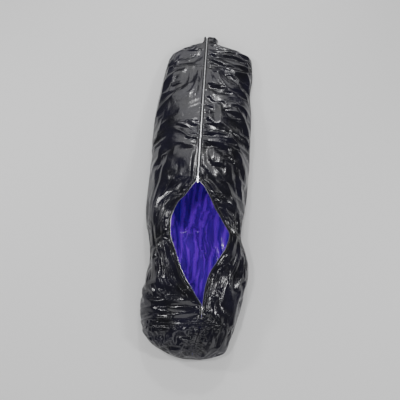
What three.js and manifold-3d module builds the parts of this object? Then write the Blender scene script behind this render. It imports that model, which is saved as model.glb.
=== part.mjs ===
// An infrared sauna blanket: a padded, zip-fronted bag that a person lies in, resting on its back.
// It is built in layers, from the outside in: black PVC shell, zip tape, insulation batting,
// carbon-film heaters, blue PVC lining. The zip is closed from the head to its upper slider and
// open below it, down to a second slider near the foot.
// Millimetres, +Z up, +Y towards the head, origin under the middle of the bag's footprint.
import * as THREE from 'three';
import { mergeVertices } from 'three/addons/utils/BufferGeometryUtils.js';
import Module from 'manifold-3d';

const wasm = await Module();
wasm.setup();

// ---------- driving dimensions ----------

const HEAD_Y = 1100; // mouth of the neck collar
const FOOT_Y = -1100; // tip of the foot end
const SEAM_Z = 22; // the seam that joins the base to the fronts all round
const FLAT = 12; // level strip either side of the zip

// Half outlines in plan, as [y, x] from foot to head.
const LEFT_OUTLINE = [
  [-1100, -30], [-1088, -85], [-1060, -150], [-1020, -215], [-960, -256], [-820, -280], [-560, -256],
  [-250, -306], [50, -308], [400, -318], [700, -294], [880, -270], [940, -250], [985, -197], [1030, -95],
  [1050, -42], [1100, -32],
];
const RIGHT_OUTLINE = [
  [-1100, 60], [-1088, 122], [-1055, 192], [-1000, 212], [-930, 238], [-800, 270], [-600, 303], [-390, 262],
  [-150, 287], [150, 306], [450, 314], [640, 303], [800, 318], [915, 311], [953, 303], [985, 240],
  [1012, 150], [1045, 80], [1060, 70], [1100, 68],
];

// The zip: straight from the head to the upper slider, and straight again below the lower one.
const ZIP_X = -10;
const UPPER_Y = -146; // open end of the upper slider
const UPPER_Z = 255;
const UPPER_SLOPE = -0.15; // height gained per millimetre towards the head
const LOWER_X = 55;
const LOWER_Y = -853; // open end of the lower slider
const LOWER_Z = 205;
const LOWER_SLOPE = 0.12;
const CREST_Y = -930; // where the foot end starts to fall
const ZIP_TOP_Y = 1085;
const ZIP_BOTTOM_Y = -916;
const YOKE_SEAM_Y = 800;
const FOOT_SEAM_Y = -950;
const NECK_SEAM_Y = 1045;

// The open stretch's two edges, as [y, x] from the lower slider to the upper one.
const LEFT_EDGE = [
  [LOWER_Y, LOWER_X], [-760, -10], [-700, -50], [-640, -78], [-560, -108], [-470, -140], [-400, -143],
  [-345, -130], [-300, -112], [-250, -72], [-190, -38], [UPPER_Y, ZIP_X],
];
const RIGHT_EDGE = [
  [LOWER_Y, LOWER_X], [-775, 62], [-690, 82], [-625, 118], [-525, 170], [-460, 184], [-400, 148],
  [-320, 96], [-250, 62], [-185, 25], [UPPER_Y, ZIP_X],
];

// Depths below the outer surface, [outer face, inner face].
const SHELL = [0, 0.8];
const TAPE = [1.2, 2.0];
const BATTING = [3.1, 11.4];
const HEATER = [11.8, 12.4];
const LINING = [12.8, 13.6];
const NECK_LINING_DEPTH = 3.6; // where the batting has ended, near the neck
const CHAIN_DEPTH = 1.6; // mid-plane of the teeth and tape

// Distances from the zip line.
const TOOTH_GAP = 0.7; // half the slot that the sliders' webs run in
const CHAIN_WIDTH = 3.2;
const CHAIN_HEIGHT = 2.6;
const TAPE_FROM = 5;
const SHELL_EDGE = 9;
const BATTING_EDGE = 14;
const STRIP = 24; // outer edge of the tape, and of the level strip beside the zip
const SEAM_GAP = 0.3;
const RIM_GAP = 1.2; // between the base's rim and the fronts

const ACROSS = 6; // facets from the side seam to the strip beside the zip
const SLIDER_LENGTH = 24;
const SLIDER_HALF = 6;

// ---------- curves ----------

// A smooth function through [y, value] points that never overshoots them.
function smoothThrough(points) {
  const slope = (k) => (points[k + 1][1] - points[k][1]) / (points[k + 1][0] - points[k][0]);
  const last = points.length - 1;
  const tangent = points.map((p, k) => {
    if (k === 0) return slope(0);
    if (k === last) return slope(last - 1);
    const before = slope(k - 1);
    const after = slope(k);
    return before * after <= 0 ? 0 : (2 * before * after) / (before + after);
  });
  return (y) => {
    let k = 0;
    while (k < last - 1 && y > points[k + 1][0]) k++;
    const step = points[k + 1][0] - points[k][0];
    const t = Math.min(1, Math.max(0, (y - points[k][0]) / step));
    const rest = 1 - t;
    return (
      points[k][1] * (1 + 2 * t) * rest * rest +
      tangent[k] * step * t * rest * rest +
      points[k + 1][1] * t * t * (3 - 2 * t) -
      tangent[k + 1] * step * t * t * rest
    );
  };
}

const leftX = smoothThrough(LEFT_OUTLINE);
const rightX = smoothThrough(RIGHT_OUTLINE);
const leftEdgeX = smoothThrough(LEFT_EDGE);
const rightEdgeX = smoothThrough(RIGHT_EDGE);
const outlineX = (y, side) => (side < 0 ? leftX(y) : rightX(y));

// X of the bag's highest line, which the closed zip follows.
function apexX(y) {
  if (y >= UPPER_Y) return ZIP_X;
  if (y >= LOWER_Y) {
    return THREE.MathUtils.lerp(LOWER_X, ZIP_X, THREE.MathUtils.smoothstep(y, LOWER_Y, UPPER_Y));
  }
  if (y >= CREST_Y) return LOWER_X;
  return THREE.MathUtils.lerp(20, LOWER_X, THREE.MathUtils.smoothstep(y, FOOT_Y, CREST_Y));
}

// Z of that line.
function ridgeZ(y) {
  const lower = (at) => LOWER_Z + LOWER_SLOPE * (at - LOWER_Y);
  if (y >= UPPER_Y) return UPPER_Z + UPPER_SLOPE * (y - UPPER_Y);
  if (y >= LOWER_Y) {
    const span = UPPER_Y - LOWER_Y;
    const t = (y - LOWER_Y) / span;
    const rest = 1 - t;
    return (
      LOWER_Z * (1 + 2 * t) * rest * rest +
      LOWER_SLOPE * span * t * rest * rest +
      UPPER_Z * t * t * (3 - 2 * t) -
      UPPER_SLOPE * span * t * t * rest
    );
  }
  if (y >= CREST_Y) return lower(y);
  const fall = (CREST_Y - y) / (CREST_Y - FOOT_Y);
  return SEAM_Z + (lower(CREST_Y) - SEAM_Z) * Math.sqrt(Math.max(0, 1 - fall * fall));
}

// ---------- the outer surface ----------

// Half a cross-section at y, from the side seam up to the apex: points [distance from the apex, z, arc].
const SECTION_STEPS = 48;
const ROUNDNESS = 2 / 2.35;
const sections = new Map();
function section(y, side) {
  const key = side * 1e6 + y;
  if (sections.has(key)) return sections.get(key);
  const width = Math.abs(outlineX(y, side) - apexX(y)) - FLAT;
  const height = ridgeZ(y) - SEAM_Z;
  const points = [];
  for (let k = 0; k <= SECTION_STEPS; k++) {
    const angle = (Math.PI / 2) * (1 - k / SECTION_STEPS);
    points.push([
      FLAT + width * Math.sin(angle) ** ROUNDNESS,
      SEAM_Z + height * Math.max(0, Math.cos(angle)) ** ROUNDNESS,
    ]);
  }
  points.push([0, ridgeZ(y)]);
  let arc = 0;
  points.forEach((p, k) => {
    if (k > 0) arc += Math.hypot(p[0] - points[k - 1][0], p[1] - points[k - 1][1]);
    p.push(arc);
  });
  sections.set(key, points);
  return points;
}

const arcTotal = (y, side) => section(y, side).at(-1)[2];

// Finds a value in a section, column "from" to column "to", by straight interpolation.
function lookUp(points, from, to, value) {
  const rising = points.at(-1)[from] > points[0][from];
  let k = 0;
  while (k < points.length - 2 && (rising ? points[k + 1][from] < value : points[k + 1][from] > value)) k++;
  const span = points[k + 1][from] - points[k][from];
  const t = span ? (value - points[k][from]) / span : 0;
  return points[k][to] + (points[k + 1][to] - points[k][to]) * Math.min(1, Math.max(0, t));
}

function surfacePoint(y, side, arc) {
  const points = section(y, side);
  return new THREE.Vector3(apexX(y) + side * lookUp(points, 2, 0, arc), y, lookUp(points, 2, 1, arc));
}

// Outward normal of the outer surface.
function surfaceNormal(y, side, arc) {
  if (y === FOOT_Y) return new THREE.Vector3(0, -1, 0);
  const share = arc / arcTotal(y, side);
  const low = Math.max(FOOT_Y, y - 1);
  const high = Math.min(HEAD_Y, y + 1);
  const along = surfacePoint(high, side, share * arcTotal(high, side)).sub(
    surfacePoint(low, side, share * arcTotal(low, side)),
  );
  const up = surfacePoint(y, side, Math.min(arc + 1.5, arcTotal(y, side))).sub(
    surfacePoint(y, side, Math.max(0, arc - 1.5)),
  );
  return along.cross(up).multiplyScalar(side).normalize();
}

const isOpen = (y) => y > LOWER_Y && y < UPPER_Y;
const isZipped = (y) => y > CREST_Y;
const zipX = (y, side) => (isOpen(y) ? (side < 0 ? leftEdgeX(y) : rightEdgeX(y)) : apexX(y));

// Arc from the side seam to the zip line, or to the middle seam below the zip.
const zipArc = (y, side) => lookUp(section(y, side), 0, 2, Math.abs(zipX(y, side) - apexX(y)));

// How much further a distance square to the zip line is when it is measured along the section.
function slant(y, side) {
  if (!isZipped(y)) return 1;
  return Math.hypot(1, (zipX(y + 4, side) - zipX(y - 4, side)) / 8);
}

// Arcs of the facets' edges in one row, from the side seam to "edge" short of the zip line.
function arcsAcross(y, side, edge) {
  const reach = zipArc(y, side);
  const strip = reach - STRIP * slant(y, side);
  const arcs = [];
  for (let k = 0; k <= ACROSS; k++) arcs.push(SEAM_GAP + ((strip - SEAM_GAP) * k) / ACROSS);
  arcs.push(reach - (isZipped(y) ? edge : SEAM_GAP) * slant(y, side));
  return arcs;
}

function sunk(y, side, arc, depth) {
  return surfacePoint(y, side, arc).addScaledVector(surfaceNormal(y, side, arc), -depth);
}

// ---------- geometry builders ----------

function triangles(vertices, faces) {
  const geometry = new THREE.BufferGeometry();
  const flat = vertices.flatMap((v) => [v.x, v.y, v.z]);
  let volume = 0;
  for (const [a, b, c] of faces) {
    volume += vertices[a].dot(new THREE.Vector3().crossVectors(vertices[b], vertices[c]));
  }
  geometry.setAttribute('position', new THREE.Float32BufferAttribute(flat, 3));
  geometry.setIndex(volume < 0 ? faces.flatMap(([a, b, c]) => [a, c, b]) : faces.flat());
  return geometry;
}

// A closed slab between two grids of points of the same size.
function slab(outer, inner) {
  const rows = outer.length;
  const columns = outer[0].length;
  const vertices = [...outer.flat(), ...inner.flat()];
  const at = (layer, i, j) => (layer * rows + i) * columns + j;
  const faces = [];
  const quad = (a, b, c, d) => faces.push([a, b, c], [a, c, d]);
  for (let i = 0; i < rows - 1; i++) {
    for (let j = 0; j < columns - 1; j++) {
      quad(at(0, i, j), at(0, i, j + 1), at(0, i + 1, j + 1), at(0, i + 1, j));
      faces.push(
        [at(1, i, j), at(1, i + 1, j + 1), at(1, i, j + 1)],
        [at(1, i, j), at(1, i + 1, j), at(1, i + 1, j + 1)],
      );
    }
  }
  for (let i = 0; i < rows - 1; i++) {
    quad(at(0, i, 0), at(0, i + 1, 0), at(1, i + 1, 0), at(1, i, 0));
    quad(at(0, i, columns - 1), at(1, i, columns - 1), at(1, i + 1, columns - 1), at(0, i + 1, columns - 1));
  }
  for (let j = 0; j < columns - 1; j++) {
    quad(at(0, 0, j), at(1, 0, j), at(1, 0, j + 1), at(0, 0, j + 1));
    quad(at(0, rows - 1, j), at(0, rows - 1, j + 1), at(1, rows - 1, j + 1), at(1, rows - 1, j));
  }
  return triangles(vertices, faces);
}

// The two halves of a front row joined at the apex, left seam to right seam.
function bothSides(y, edge, depth) {
  const half = (side) => arcsAcross(y, side, edge).map((arc) => sunk(y, side, arc, depth));
  const left = half(-1).slice(0, -1);
  const right = half(1).slice(0, -1);
  return [...left, sunk(y, 1, arcTotal(y, 1), depth), ...right.reverse()];
}

function frontPanel(rows, side, edge, depths, from = 0, to = ACROSS + 1) {
  const layer = (depth) =>
    rows.map((y) =>
      arcsAcross(y, side, edge)
        .slice(from, to + 1)
        .map((arc) => sunk(y, side, arc, typeof depth === 'function' ? depth(y) : depth)),
    );
  return slab(layer(depths[0]), layer(depths[1]));
}

function footPanel(rows, depths) {
  return slab(...depths.map((depth) => rows.map((y) => bothSides(y, SHELL_EDGE, depth))));
}

// Outward normal of the outline in plan.
function planNormal(y, side) {
  const low = Math.max(FOOT_Y, y - 1);
  const high = Math.min(HEAD_Y, y + 1);
  const lean = (outlineX(high, side) - outlineX(low, side)) / (high - low);
  return new THREE.Vector3(side, -side * lean, 0).normalize();
}

// One row of the base, left seam to right seam, rolled up round its rim. "flatness" is 1 where the
// row lies on the floor and falls to 0 at the foot end's seam.
const RIM = [RIM_GAP / SEAM_Z, Math.SQRT1_2, 1];
function baseRow(y, depth, flatness = 1) {
  const end = new THREE.Vector3(0, -1, 0);
  const half = (side) =>
    RIM.map((share) => {
      const outward = planNormal(y, side);
      const rise = Math.sqrt(Math.max(0, 1 - share * share));
      const inset = flatness === 1 ? SEAM_Z * (1 - rise) : 6 * share;
      const normal = outward
        .clone()
        .multiplyScalar(rise)
        .addScaledVector(end, Math.sqrt(1 - flatness * flatness))
        .add(new THREE.Vector3(0, 0, -share * flatness))
        .normalize();
      return new THREE.Vector3(outlineX(y, side), y, SEAM_Z * (1 - share * flatness))
        .addScaledVector(outward, -inset)
        .addScaledVector(normal, -depth);
    });
  return [...half(-1), ...half(1).reverse()];
}

function basePanel(rows, depths) {
  const layer = (depth) => {
    const at = (y) => (typeof depth === 'function' ? depth(y) : depth);
    return [
      ...rows.map((y) => baseRow(y, at(y))),
      baseRow(FOOT_Y + SEAM_Z * (1 - Math.SQRT1_2), at(FOOT_Y), Math.SQRT1_2),
      baseRow(FOOT_Y, at(FOOT_Y), RIM_GAP / SEAM_Z),
    ];
  };
  return slab(layer(depths[0]), layer(depths[1]));
}

// A flat plate on the base between two heights, from an outline in plan.
function plate(points, [bottom, top]) {
  const shape = new THREE.Shape(points.map(([x, y]) => new THREE.Vector2(x, y)));
  const solid = new THREE.ExtrudeGeometry(shape, { depth: top - bottom, bevelEnabled: false, steps: 1 });
  return solid.translate(0, 0, bottom);
}

function tube(points, diameter, sides = 8) {
  const section2d = new THREE.Shape();
  for (let k = 0; k < sides; k++) {
    const angle = (2 * Math.PI * k) / sides;
    const x = (Math.cos(angle) * diameter) / 2;
    const y = (Math.sin(angle) * diameter) / 2;
    if (k === 0) section2d.moveTo(x, y);
    else section2d.lineTo(x, y);
  }
  section2d.closePath();
  const path = new THREE.CatmullRomCurve3(points);
  const steps = 2 * points.length;
  return new THREE.ExtrudeGeometry(section2d, { steps, bevelEnabled: false, extrudePath: path });
}

function solidOf(geometry) {
  const bare = geometry.index ? geometry.toNonIndexed() : geometry.clone();
  bare.deleteAttribute('normal');
  bare.deleteAttribute('uv');
  const merged = mergeVertices(bare, 1e-3);
  const mesh = new wasm.Mesh({
    numProp: 3,
    vertProperties: merged.attributes.position.array,
    triVerts: new Uint32Array(merged.index.array),
  });
  return new wasm.Manifold(mesh);
}

function geometryOf(solid) {
  const mesh = solid.getMesh();
  const geometry = new THREE.BufferGeometry();
  geometry.setAttribute('position', new THREE.BufferAttribute(mesh.vertProperties, 3));
  geometry.setIndex(new THREE.BufferAttribute(mesh.triVerts, 1));
  return geometry;
}

const cut = (geometry, tool) => geometryOf(solidOf(geometry).subtract(solidOf(tool)));
const join = (a, b) => geometryOf(solidOf(a).add(solidOf(b)));
const box = (x0, x1, y0, y1, z0, z1) =>
  new THREE.BoxGeometry(x1 - x0, y1 - y0, z1 - z0).translate((x0 + x1) / 2, (y0 + y1) / 2, (z0 + z1) / 2);

// ---------- materials ----------

const material = (color, roughness, metalness = 0) =>
  new THREE.MeshStandardMaterial({ color, roughness, metalness });
const BLACK_PVC = material(0x0b0b0e, 0.18);
const BLUE_PVC = material(0x2a12b4, 0.22);
const WADDING = material(0xd9d7cf, 0.95);
const CARBON_FILM = material(0x1c1d20, 0.5);
const TAPE_CLOTH = material(0x0d0d10, 0.9);
const NICKEL = material(0xc9c9cf, 0.25, 1);
const BLACK_NYLON = material(0x151517, 0.55);
const SILICONE = material(0xb4402c, 0.6);
const BRASS = material(0xc7a24a, 0.3, 1);

const bag = new THREE.Group();
function add(name, geometry, look, parent = bag) {
  const mesh = new THREE.Mesh(geometry, look);
  mesh.name = name;
  parent.add(mesh);
  return mesh;
}

// ---------- stations along the bag ----------

const STATIONS = [
  NECK_SEAM_Y, 1025, 1000, 975, 940, 880, YOKE_SEAM_Y, 680, 540, 350, 180, 20, UPPER_Y, -190, -250, -320,
  -400, -460, -525, -600, -690, -775, LOWER_Y, CREST_Y + 2, CREST_Y - 6, FOOT_SEAM_Y, -1000, -1045, -1075,
  -1092, FOOT_Y,
];
// The stations between two seams, with a seam's gap left at each end.
function stations(head, foot) {
  const between = STATIONS.filter((y) => y < head && y > foot);
  return [head - SEAM_GAP, ...between, foot + SEAM_GAP];
}

// ---------- outer shell ----------

const BATTING_HEAD_Y = 975;
const sides = [
  ['left', -1],
  ['right', 1],
];
const THINNING = [975, 1030]; // rows between which the padding runs out towards the neck
const liningDepth = (extra) => (y) => {
  const row = THREE.MathUtils.clamp(y, ...THINNING);
  return extra + THREE.MathUtils.mapLinear(row, ...THINNING, LINING[0], NECK_LINING_DEPTH);
};
const LINING_DEPTHS = [liningDepth(0), liningDepth(LINING[1] - LINING[0])];

add('base_outer_shell', basePanel(stations(NECK_SEAM_Y, FOOT_Y + SEAM_Z), SHELL), BLACK_PVC);
const yokeShell = {};
const yokeBatting = {};
for (const [name, side] of sides) {
  add(
    `${name}_front_shell`,
    frontPanel(stations(YOKE_SEAM_Y, FOOT_SEAM_Y), side, SHELL_EDGE, SHELL),
    BLACK_PVC,
  );
  yokeShell[name] = frontPanel(stations(NECK_SEAM_Y, YOKE_SEAM_Y), side, SHELL_EDGE, SHELL);
}
add('foot_shell', footPanel([...stations(FOOT_SEAM_Y, FOOT_Y).slice(0, -1), FOOT_Y], SHELL), BLACK_PVC);

// The neck collar runs from one side of the zip, down round the base, to the other side.
function collarRow(y, depth) {
  const half = (side) => {
    const reach = arcTotal(y, side);
    const arcs = [reach - SHELL_EDGE, reach - STRIP, 0.6 * (reach - STRIP), 0.25 * (reach - STRIP)];
    return arcs.map((arc) => sunk(y, side, arc, depth));
  };
  const base = baseRow(y, depth);
  return [...half(-1), ...base, ...half(1).reverse()];
}
const collarRows = [NECK_SEAM_Y + SEAM_GAP, 1072, 1094, HEAD_Y];
add('neck_collar', slab(...SHELL.map((depth) => collarRows.map((y) => collarRow(y, depth)))), BLACK_PVC);

// ---------- batting ----------

const BATTING_SPLITS = [
  ['yoke', BATTING_HEAD_Y, YOKE_SEAM_Y],
  ['chest', YOKE_SEAM_Y, 350],
  ['hip', 350, UPPER_Y],
  ['thigh', UPPER_Y, -460],
  ['shin', -460, LOWER_Y],
];
for (const [name, side] of sides) {
  for (const [zone, head, foot] of BATTING_SPLITS) {
    const piece = frontPanel(stations(head, foot), side, BATTING_EDGE, BATTING);
    if (zone === 'yoke') yokeBatting[name] = piece;
    else add(`${name}_${zone}_batting`, piece, WADDING);
  }
}
// Below the lower slider the batting is one piece across both sides, notched for the end of the zip.
const footBatting = footPanel(stations(LOWER_Y, -1090), BATTING);
const zipNotch = box(LOWER_X - BATTING_EDGE, LOWER_X + BATTING_EDGE, CREST_Y, LOWER_Y + 20, 150, 260);
add('foot_batting', cut(footBatting, zipNotch), WADDING);

// The base's batting lies flat inside the rim.
function insetLoop(rows, inset) {
  const edge = (side) =>
    rows.map((y) => {
      const outward = planNormal(y, side);
      return [outlineX(y, side) - outward.x * inset, y - outward.y * inset];
    });
  return [...edge(-1), ...edge(1).reverse()];
}
const RIM_INSET = SEAM_Z + 3;
const battingRows = STATIONS.filter((y) => y <= BATTING_HEAD_Y && y >= -1045);
add('base_batting', plate(insetLoop(battingRows, RIM_INSET), BATTING), WADDING);

// ---------- lining ----------

add('base_lining', basePanel(stations(NECK_SEAM_Y, FOOT_Y + SEAM_Z), LINING_DEPTHS), BLUE_PVC);
for (const [name, side] of sides) {
  add(
    `${name}_lining`,
    frontPanel(stations(NECK_SEAM_Y, FOOT_SEAM_Y), side, BATTING_EDGE, LINING_DEPTHS),
    BLUE_PVC,
  );
}
add('foot_lining', footPanel([...stations(FOOT_SEAM_Y, FOOT_Y).slice(0, -1), FOOT_Y], LINING), BLUE_PVC);

// ---------- heaters and wiring ----------

// Each base heater is a rectangle with a connection tail that reaches into the right rim.
const HARNESS_DIAMETER = 5;
const HARNESS_INSET = 11.8; // middle of the hollow inside the rim
const TAIL_HALF = 8;
const harnessX = (y, side) => outlineX(y, side) - planNormal(y, side).x * HARNESS_INSET;
function baseHeater(head, foot, tailY) {
  const halfWidth = 205;
  const tailX = harnessX(tailY, 1) - HARNESS_DIAMETER / 2 - 2;
  return plate(
    [
      [-halfWidth, head], [-halfWidth, foot], [halfWidth, foot],
      [halfWidth, tailY - TAIL_HALF], [tailX, tailY - TAIL_HALF],
      [tailX, tailY + TAIL_HALF], [halfWidth, tailY + TAIL_HALF], [halfWidth, head],
    ],
    HEATER,
  );
}
add('base_heater_upper', baseHeater(900, 330, 600), CARBON_FILM);
add('base_heater_middle', baseHeater(300, -280, 0), CARBON_FILM);
add('base_heater_lower', baseHeater(-310, -900, -600), CARBON_FILM);
for (const [name, side] of sides) {
  const heater = frontPanel([680, 540, 350, 180, 20], side, BATTING_EDGE, HEATER, 1, ACROSS - 1);
  add(`${name}_front_heater`, heater, CARBON_FILM);
}

// The loom runs down the right rim from the inlet, with a thermal cut-out ahead of each heater.
const CUTOUT_LENGTH = 26;
const CUTOUT_WIDTH = 6.2;
const CUTOUT_HEIGHT = 5.2;
const LOOM_GAP = 0.8;
function harness(from, to, side) {
  const points = [];
  const runs = Math.max(3, Math.ceil(Math.abs(from - to) / 90));
  for (let k = 0; k <= runs; k++) {
    const y = from + ((to - from) * k) / runs;
    points.push(new THREE.Vector3(harnessX(y, side), y, HARNESS_INSET));
  }
  return tube(points, HARNESS_DIAMETER);
}
const CUTOUTS = [
  ['upper', 660],
  ['middle', 60],
  ['lower', -608],
];
const LOOM_START = 860;
const LOOM_END = -700;
let loomFrom = LOOM_START;
CUTOUTS.forEach(([zone, y]) => {
  add(`loom_to_${zone}_cutout`, harness(loomFrom, y + CUTOUT_LENGTH / 2 + LOOM_GAP, 1), SILICONE);
  const x = harnessX(y, 1);
  const cutout = box(
    x - CUTOUT_WIDTH / 2, x + CUTOUT_WIDTH / 2,
    y - CUTOUT_LENGTH / 2, y + CUTOUT_LENGTH / 2,
    HARNESS_INSET - CUTOUT_HEIGHT / 2, HARNESS_INSET + CUTOUT_HEIGHT / 2,
  );
  add(`thermal_cutout_${zone}`, cutout, BLACK_NYLON);
  loomFrom = y - CUTOUT_LENGTH / 2 - LOOM_GAP;
});
add('loom_to_foot', harness(loomFrom, LOOM_END, 1), SILICONE);

// A flat lead crosses the base between two heaters to the left front's heater.
const CROSS_Y = 315;
const crossFrom = harnessX(CROSS_Y, 1) - HARNESS_DIAMETER / 2 - 2;
const crossTo = harnessX(CROSS_Y, -1) + HARNESS_DIAMETER / 2 + 2;
const crossEnds = [CROSS_Y - 5, CROSS_Y + 5];
const crossLead = plate(
  [[crossTo, crossEnds[0]], [crossFrom, crossEnds[0]], [crossFrom, crossEnds[1]], [crossTo, crossEnds[1]]],
  HEATER,
);
add('cross_lead', crossLead, CARBON_FILM);
add('left_rim_lead', harness(CROSS_Y + 8, CROSS_Y - 130, -1), SILICONE);

// ---------- power inlet, in the right side wall by the shoulder ----------

const INLET_ROWS = [880, YOKE_SEAM_Y];
const inletCorners = INLET_ROWS.flatMap((y) =>
  arcsAcross(y, 1, SHELL_EDGE).slice(0, 2).map((arc) => sunk(y, 1, arc, 0)),
);
const [inletA, inletB, inletC, inletD] = inletCorners; // seam and upper edge at each row
const inletCentre = new THREE.Vector3();
inletCorners.forEach((p) => inletCentre.addScaledVector(p, 1 / inletCorners.length));
const inletUp = inletB.clone().add(inletD).sub(inletA).sub(inletC).normalize();
const inletAlong = inletA.clone().add(inletB).sub(inletC).sub(inletD).normalize();
const inletOut = inletAlong.clone().cross(inletUp).multiplyScalar(-1).normalize();
if (inletOut.x < 0) inletOut.negate();
const inletSquare = new THREE.Vector3().crossVectors(inletUp, inletOut);
const inletFrame = new THREE.Matrix4()
  .makeBasis(inletSquare, inletUp, inletOut)
  .setPosition(inletCentre.clone().addScaledVector(inletOut, 0.4).addScaledVector(inletUp, -4));

const INLET_BODY = [34, 16]; // along the wall, up the wall
const INLET_FLANGE = [46, 24];
const FLANGE_HEIGHT = 2.4;
const INLET_DEPTH = 9;
const RECESS = [28, 11];
const block = ([along, up], low, high, grow = 0) =>
  box(-along / 2 - grow, along / 2 + grow, -up / 2 - grow, up / 2 + grow, low - grow, high + grow);
const inletHousing = cut(
  join(block(INLET_FLANGE, 0, FLANGE_HEIGHT), block(INLET_BODY, -INLET_DEPTH, 0.01)),
  block(RECESS, -INLET_DEPTH + 1.6, FLANGE_HEIGHT + 1),
);
const SCREW_X = 20;
const SCREW_RADIUS = 1.2;
const roundBar = (radius, length, x, z, segments = 12) =>
  new THREE.CylinderGeometry(radius, radius, length, segments).rotateX(Math.PI / 2).translate(x, 0, z);
const screwHole = (x) => roundBar(SCREW_RADIUS + 0.2, 8, x, 0);
const clearance = (geometry) => geometry.applyMatrix4(inletFrame);

const inlet = new THREE.Group();
inlet.applyMatrix4(inletFrame);
bag.add(inlet);
add('inlet_housing', cut(cut(inletHousing, screwHole(SCREW_X)), screwHole(-SCREW_X)), BLACK_NYLON, inlet);
const PIN_LENGTH = 6.6;
const pinZ = -INLET_DEPTH + 1.6 + 0.3 + PIN_LENGTH / 2;
[-8, 0, 8].forEach((x, k) => {
  add(`inlet_pin_${k + 1}`, roundBar(1, PIN_LENGTH, x, pinZ), BRASS, inlet);
});
[-SCREW_X, SCREW_X].forEach((x, k) => {
  const screw = new THREE.LatheGeometry(
    [[0, -3], [SCREW_RADIUS - 0.1, -3], [SCREW_RADIUS - 0.1, FLANGE_HEIGHT + 0.3], [2.2, FLANGE_HEIGHT + 0.3],
      [2.0, FLANGE_HEIGHT + 1.2], [0, FLANGE_HEIGHT + 1.5]].map(([r, z]) => new THREE.Vector2(r, z)),
    12,
  );
  add(`inlet_screw_${k + 1}`, screw.rotateX(Math.PI / 2).translate(x, 0, 0), NICKEL, inlet);
});

const bodyCut = clearance(block(INLET_BODY, -INLET_DEPTH, 6, 0.5));
const flangeCut = clearance(block(INLET_FLANGE, 0, 6, 0.4));
const screwCuts = [-SCREW_X, SCREW_X].map((x) => clearance(roundBar(1.7, 10, x, 0, 10)));
const forInlet = (geometry) => screwCuts.reduce(cut, cut(cut(geometry, bodyCut), flangeCut));
for (const [name] of sides) {
  const fit = name === 'right' ? forInlet : (geometry) => geometry;
  add(`${name}_yoke_shell`, fit(yokeShell[name]), BLACK_PVC);
  add(`${name}_yoke_batting`, fit(yokeBatting[name]), WADDING);
}

// ---------- zip ----------

const ZIP_ROWS = STATIONS.filter((y) => y <= NECK_SEAM_Y && y > CREST_Y + 4);
for (const [name, side] of sides) {
  // Tape.
  const tapeRows = [1094, 1072, ...ZIP_ROWS, CREST_Y + 4];
  const tapeArcs = (y) => [STRIP, SHELL_EDGE, TAPE_FROM].map((d) => zipArc(y, side) - d * slant(y, side));
  const layer = (depth) => tapeRows.map((y) => tapeArcs(y).map((arc) => sunk(y, side, arc, depth)));
  add(`${name}_zip_tape`, slab(layer(TAPE[0]), layer(TAPE[1])), TAPE_CLOTH);

  // Teeth, as one bar that keeps the chain's outer size.
  const lateral = TOOTH_GAP + CHAIN_WIDTH / 2;
  const chainRows = [ZIP_TOP_Y, UPPER_Y, ...ZIP_ROWS.filter(isOpen), LOWER_Y, ZIP_BOTTOM_Y];
  const centre = (y) => sunk(y, side, zipArc(y, side) - lateral * slant(y, side), CHAIN_DEPTH);
  const centres = chainRows.map(centre);
  const grid = (height) =>
    centres.map((c, k) => {
      const before = centres[Math.max(0, k - 1)];
      const after = centres[Math.min(centres.length - 1, k + 1)];
      const normal = surfaceNormal(chainRows[k], side, zipArc(chainRows[k], side) - lateral);
      const across = new THREE.Vector3().crossVectors(after.clone().sub(before), normal).normalize();
      return [-1, 1].map((s) =>
        c.clone().addScaledVector(across, (s * CHAIN_WIDTH) / 2).addScaledVector(normal, height),
      );
    });
  add(`${name}_zip_teeth`, slab(grid(CHAIN_HEIGHT / 2), grid(-CHAIN_HEIGHT / 2)), NICKEL);
}

// A frame on the zip line: X across, Y along the zip away from the slider's open end, Z out of the bag.
function zipFrame(x, y, along) {
  const slope = along > 0 ? UPPER_SLOPE : LOWER_SLOPE;
  const forward = new THREE.Vector3(0, along, along * slope).normalize();
  const out = new THREE.Vector3(0, -slope, 1).normalize();
  const across = new THREE.Vector3().crossVectors(forward, out);
  const origin = new THREE.Vector3(x, y, ridgeZ(y)).addScaledVector(out, -CHAIN_DEPTH);
  return new THREE.Matrix4().makeBasis(across, forward, out).setPosition(origin);
}

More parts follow.
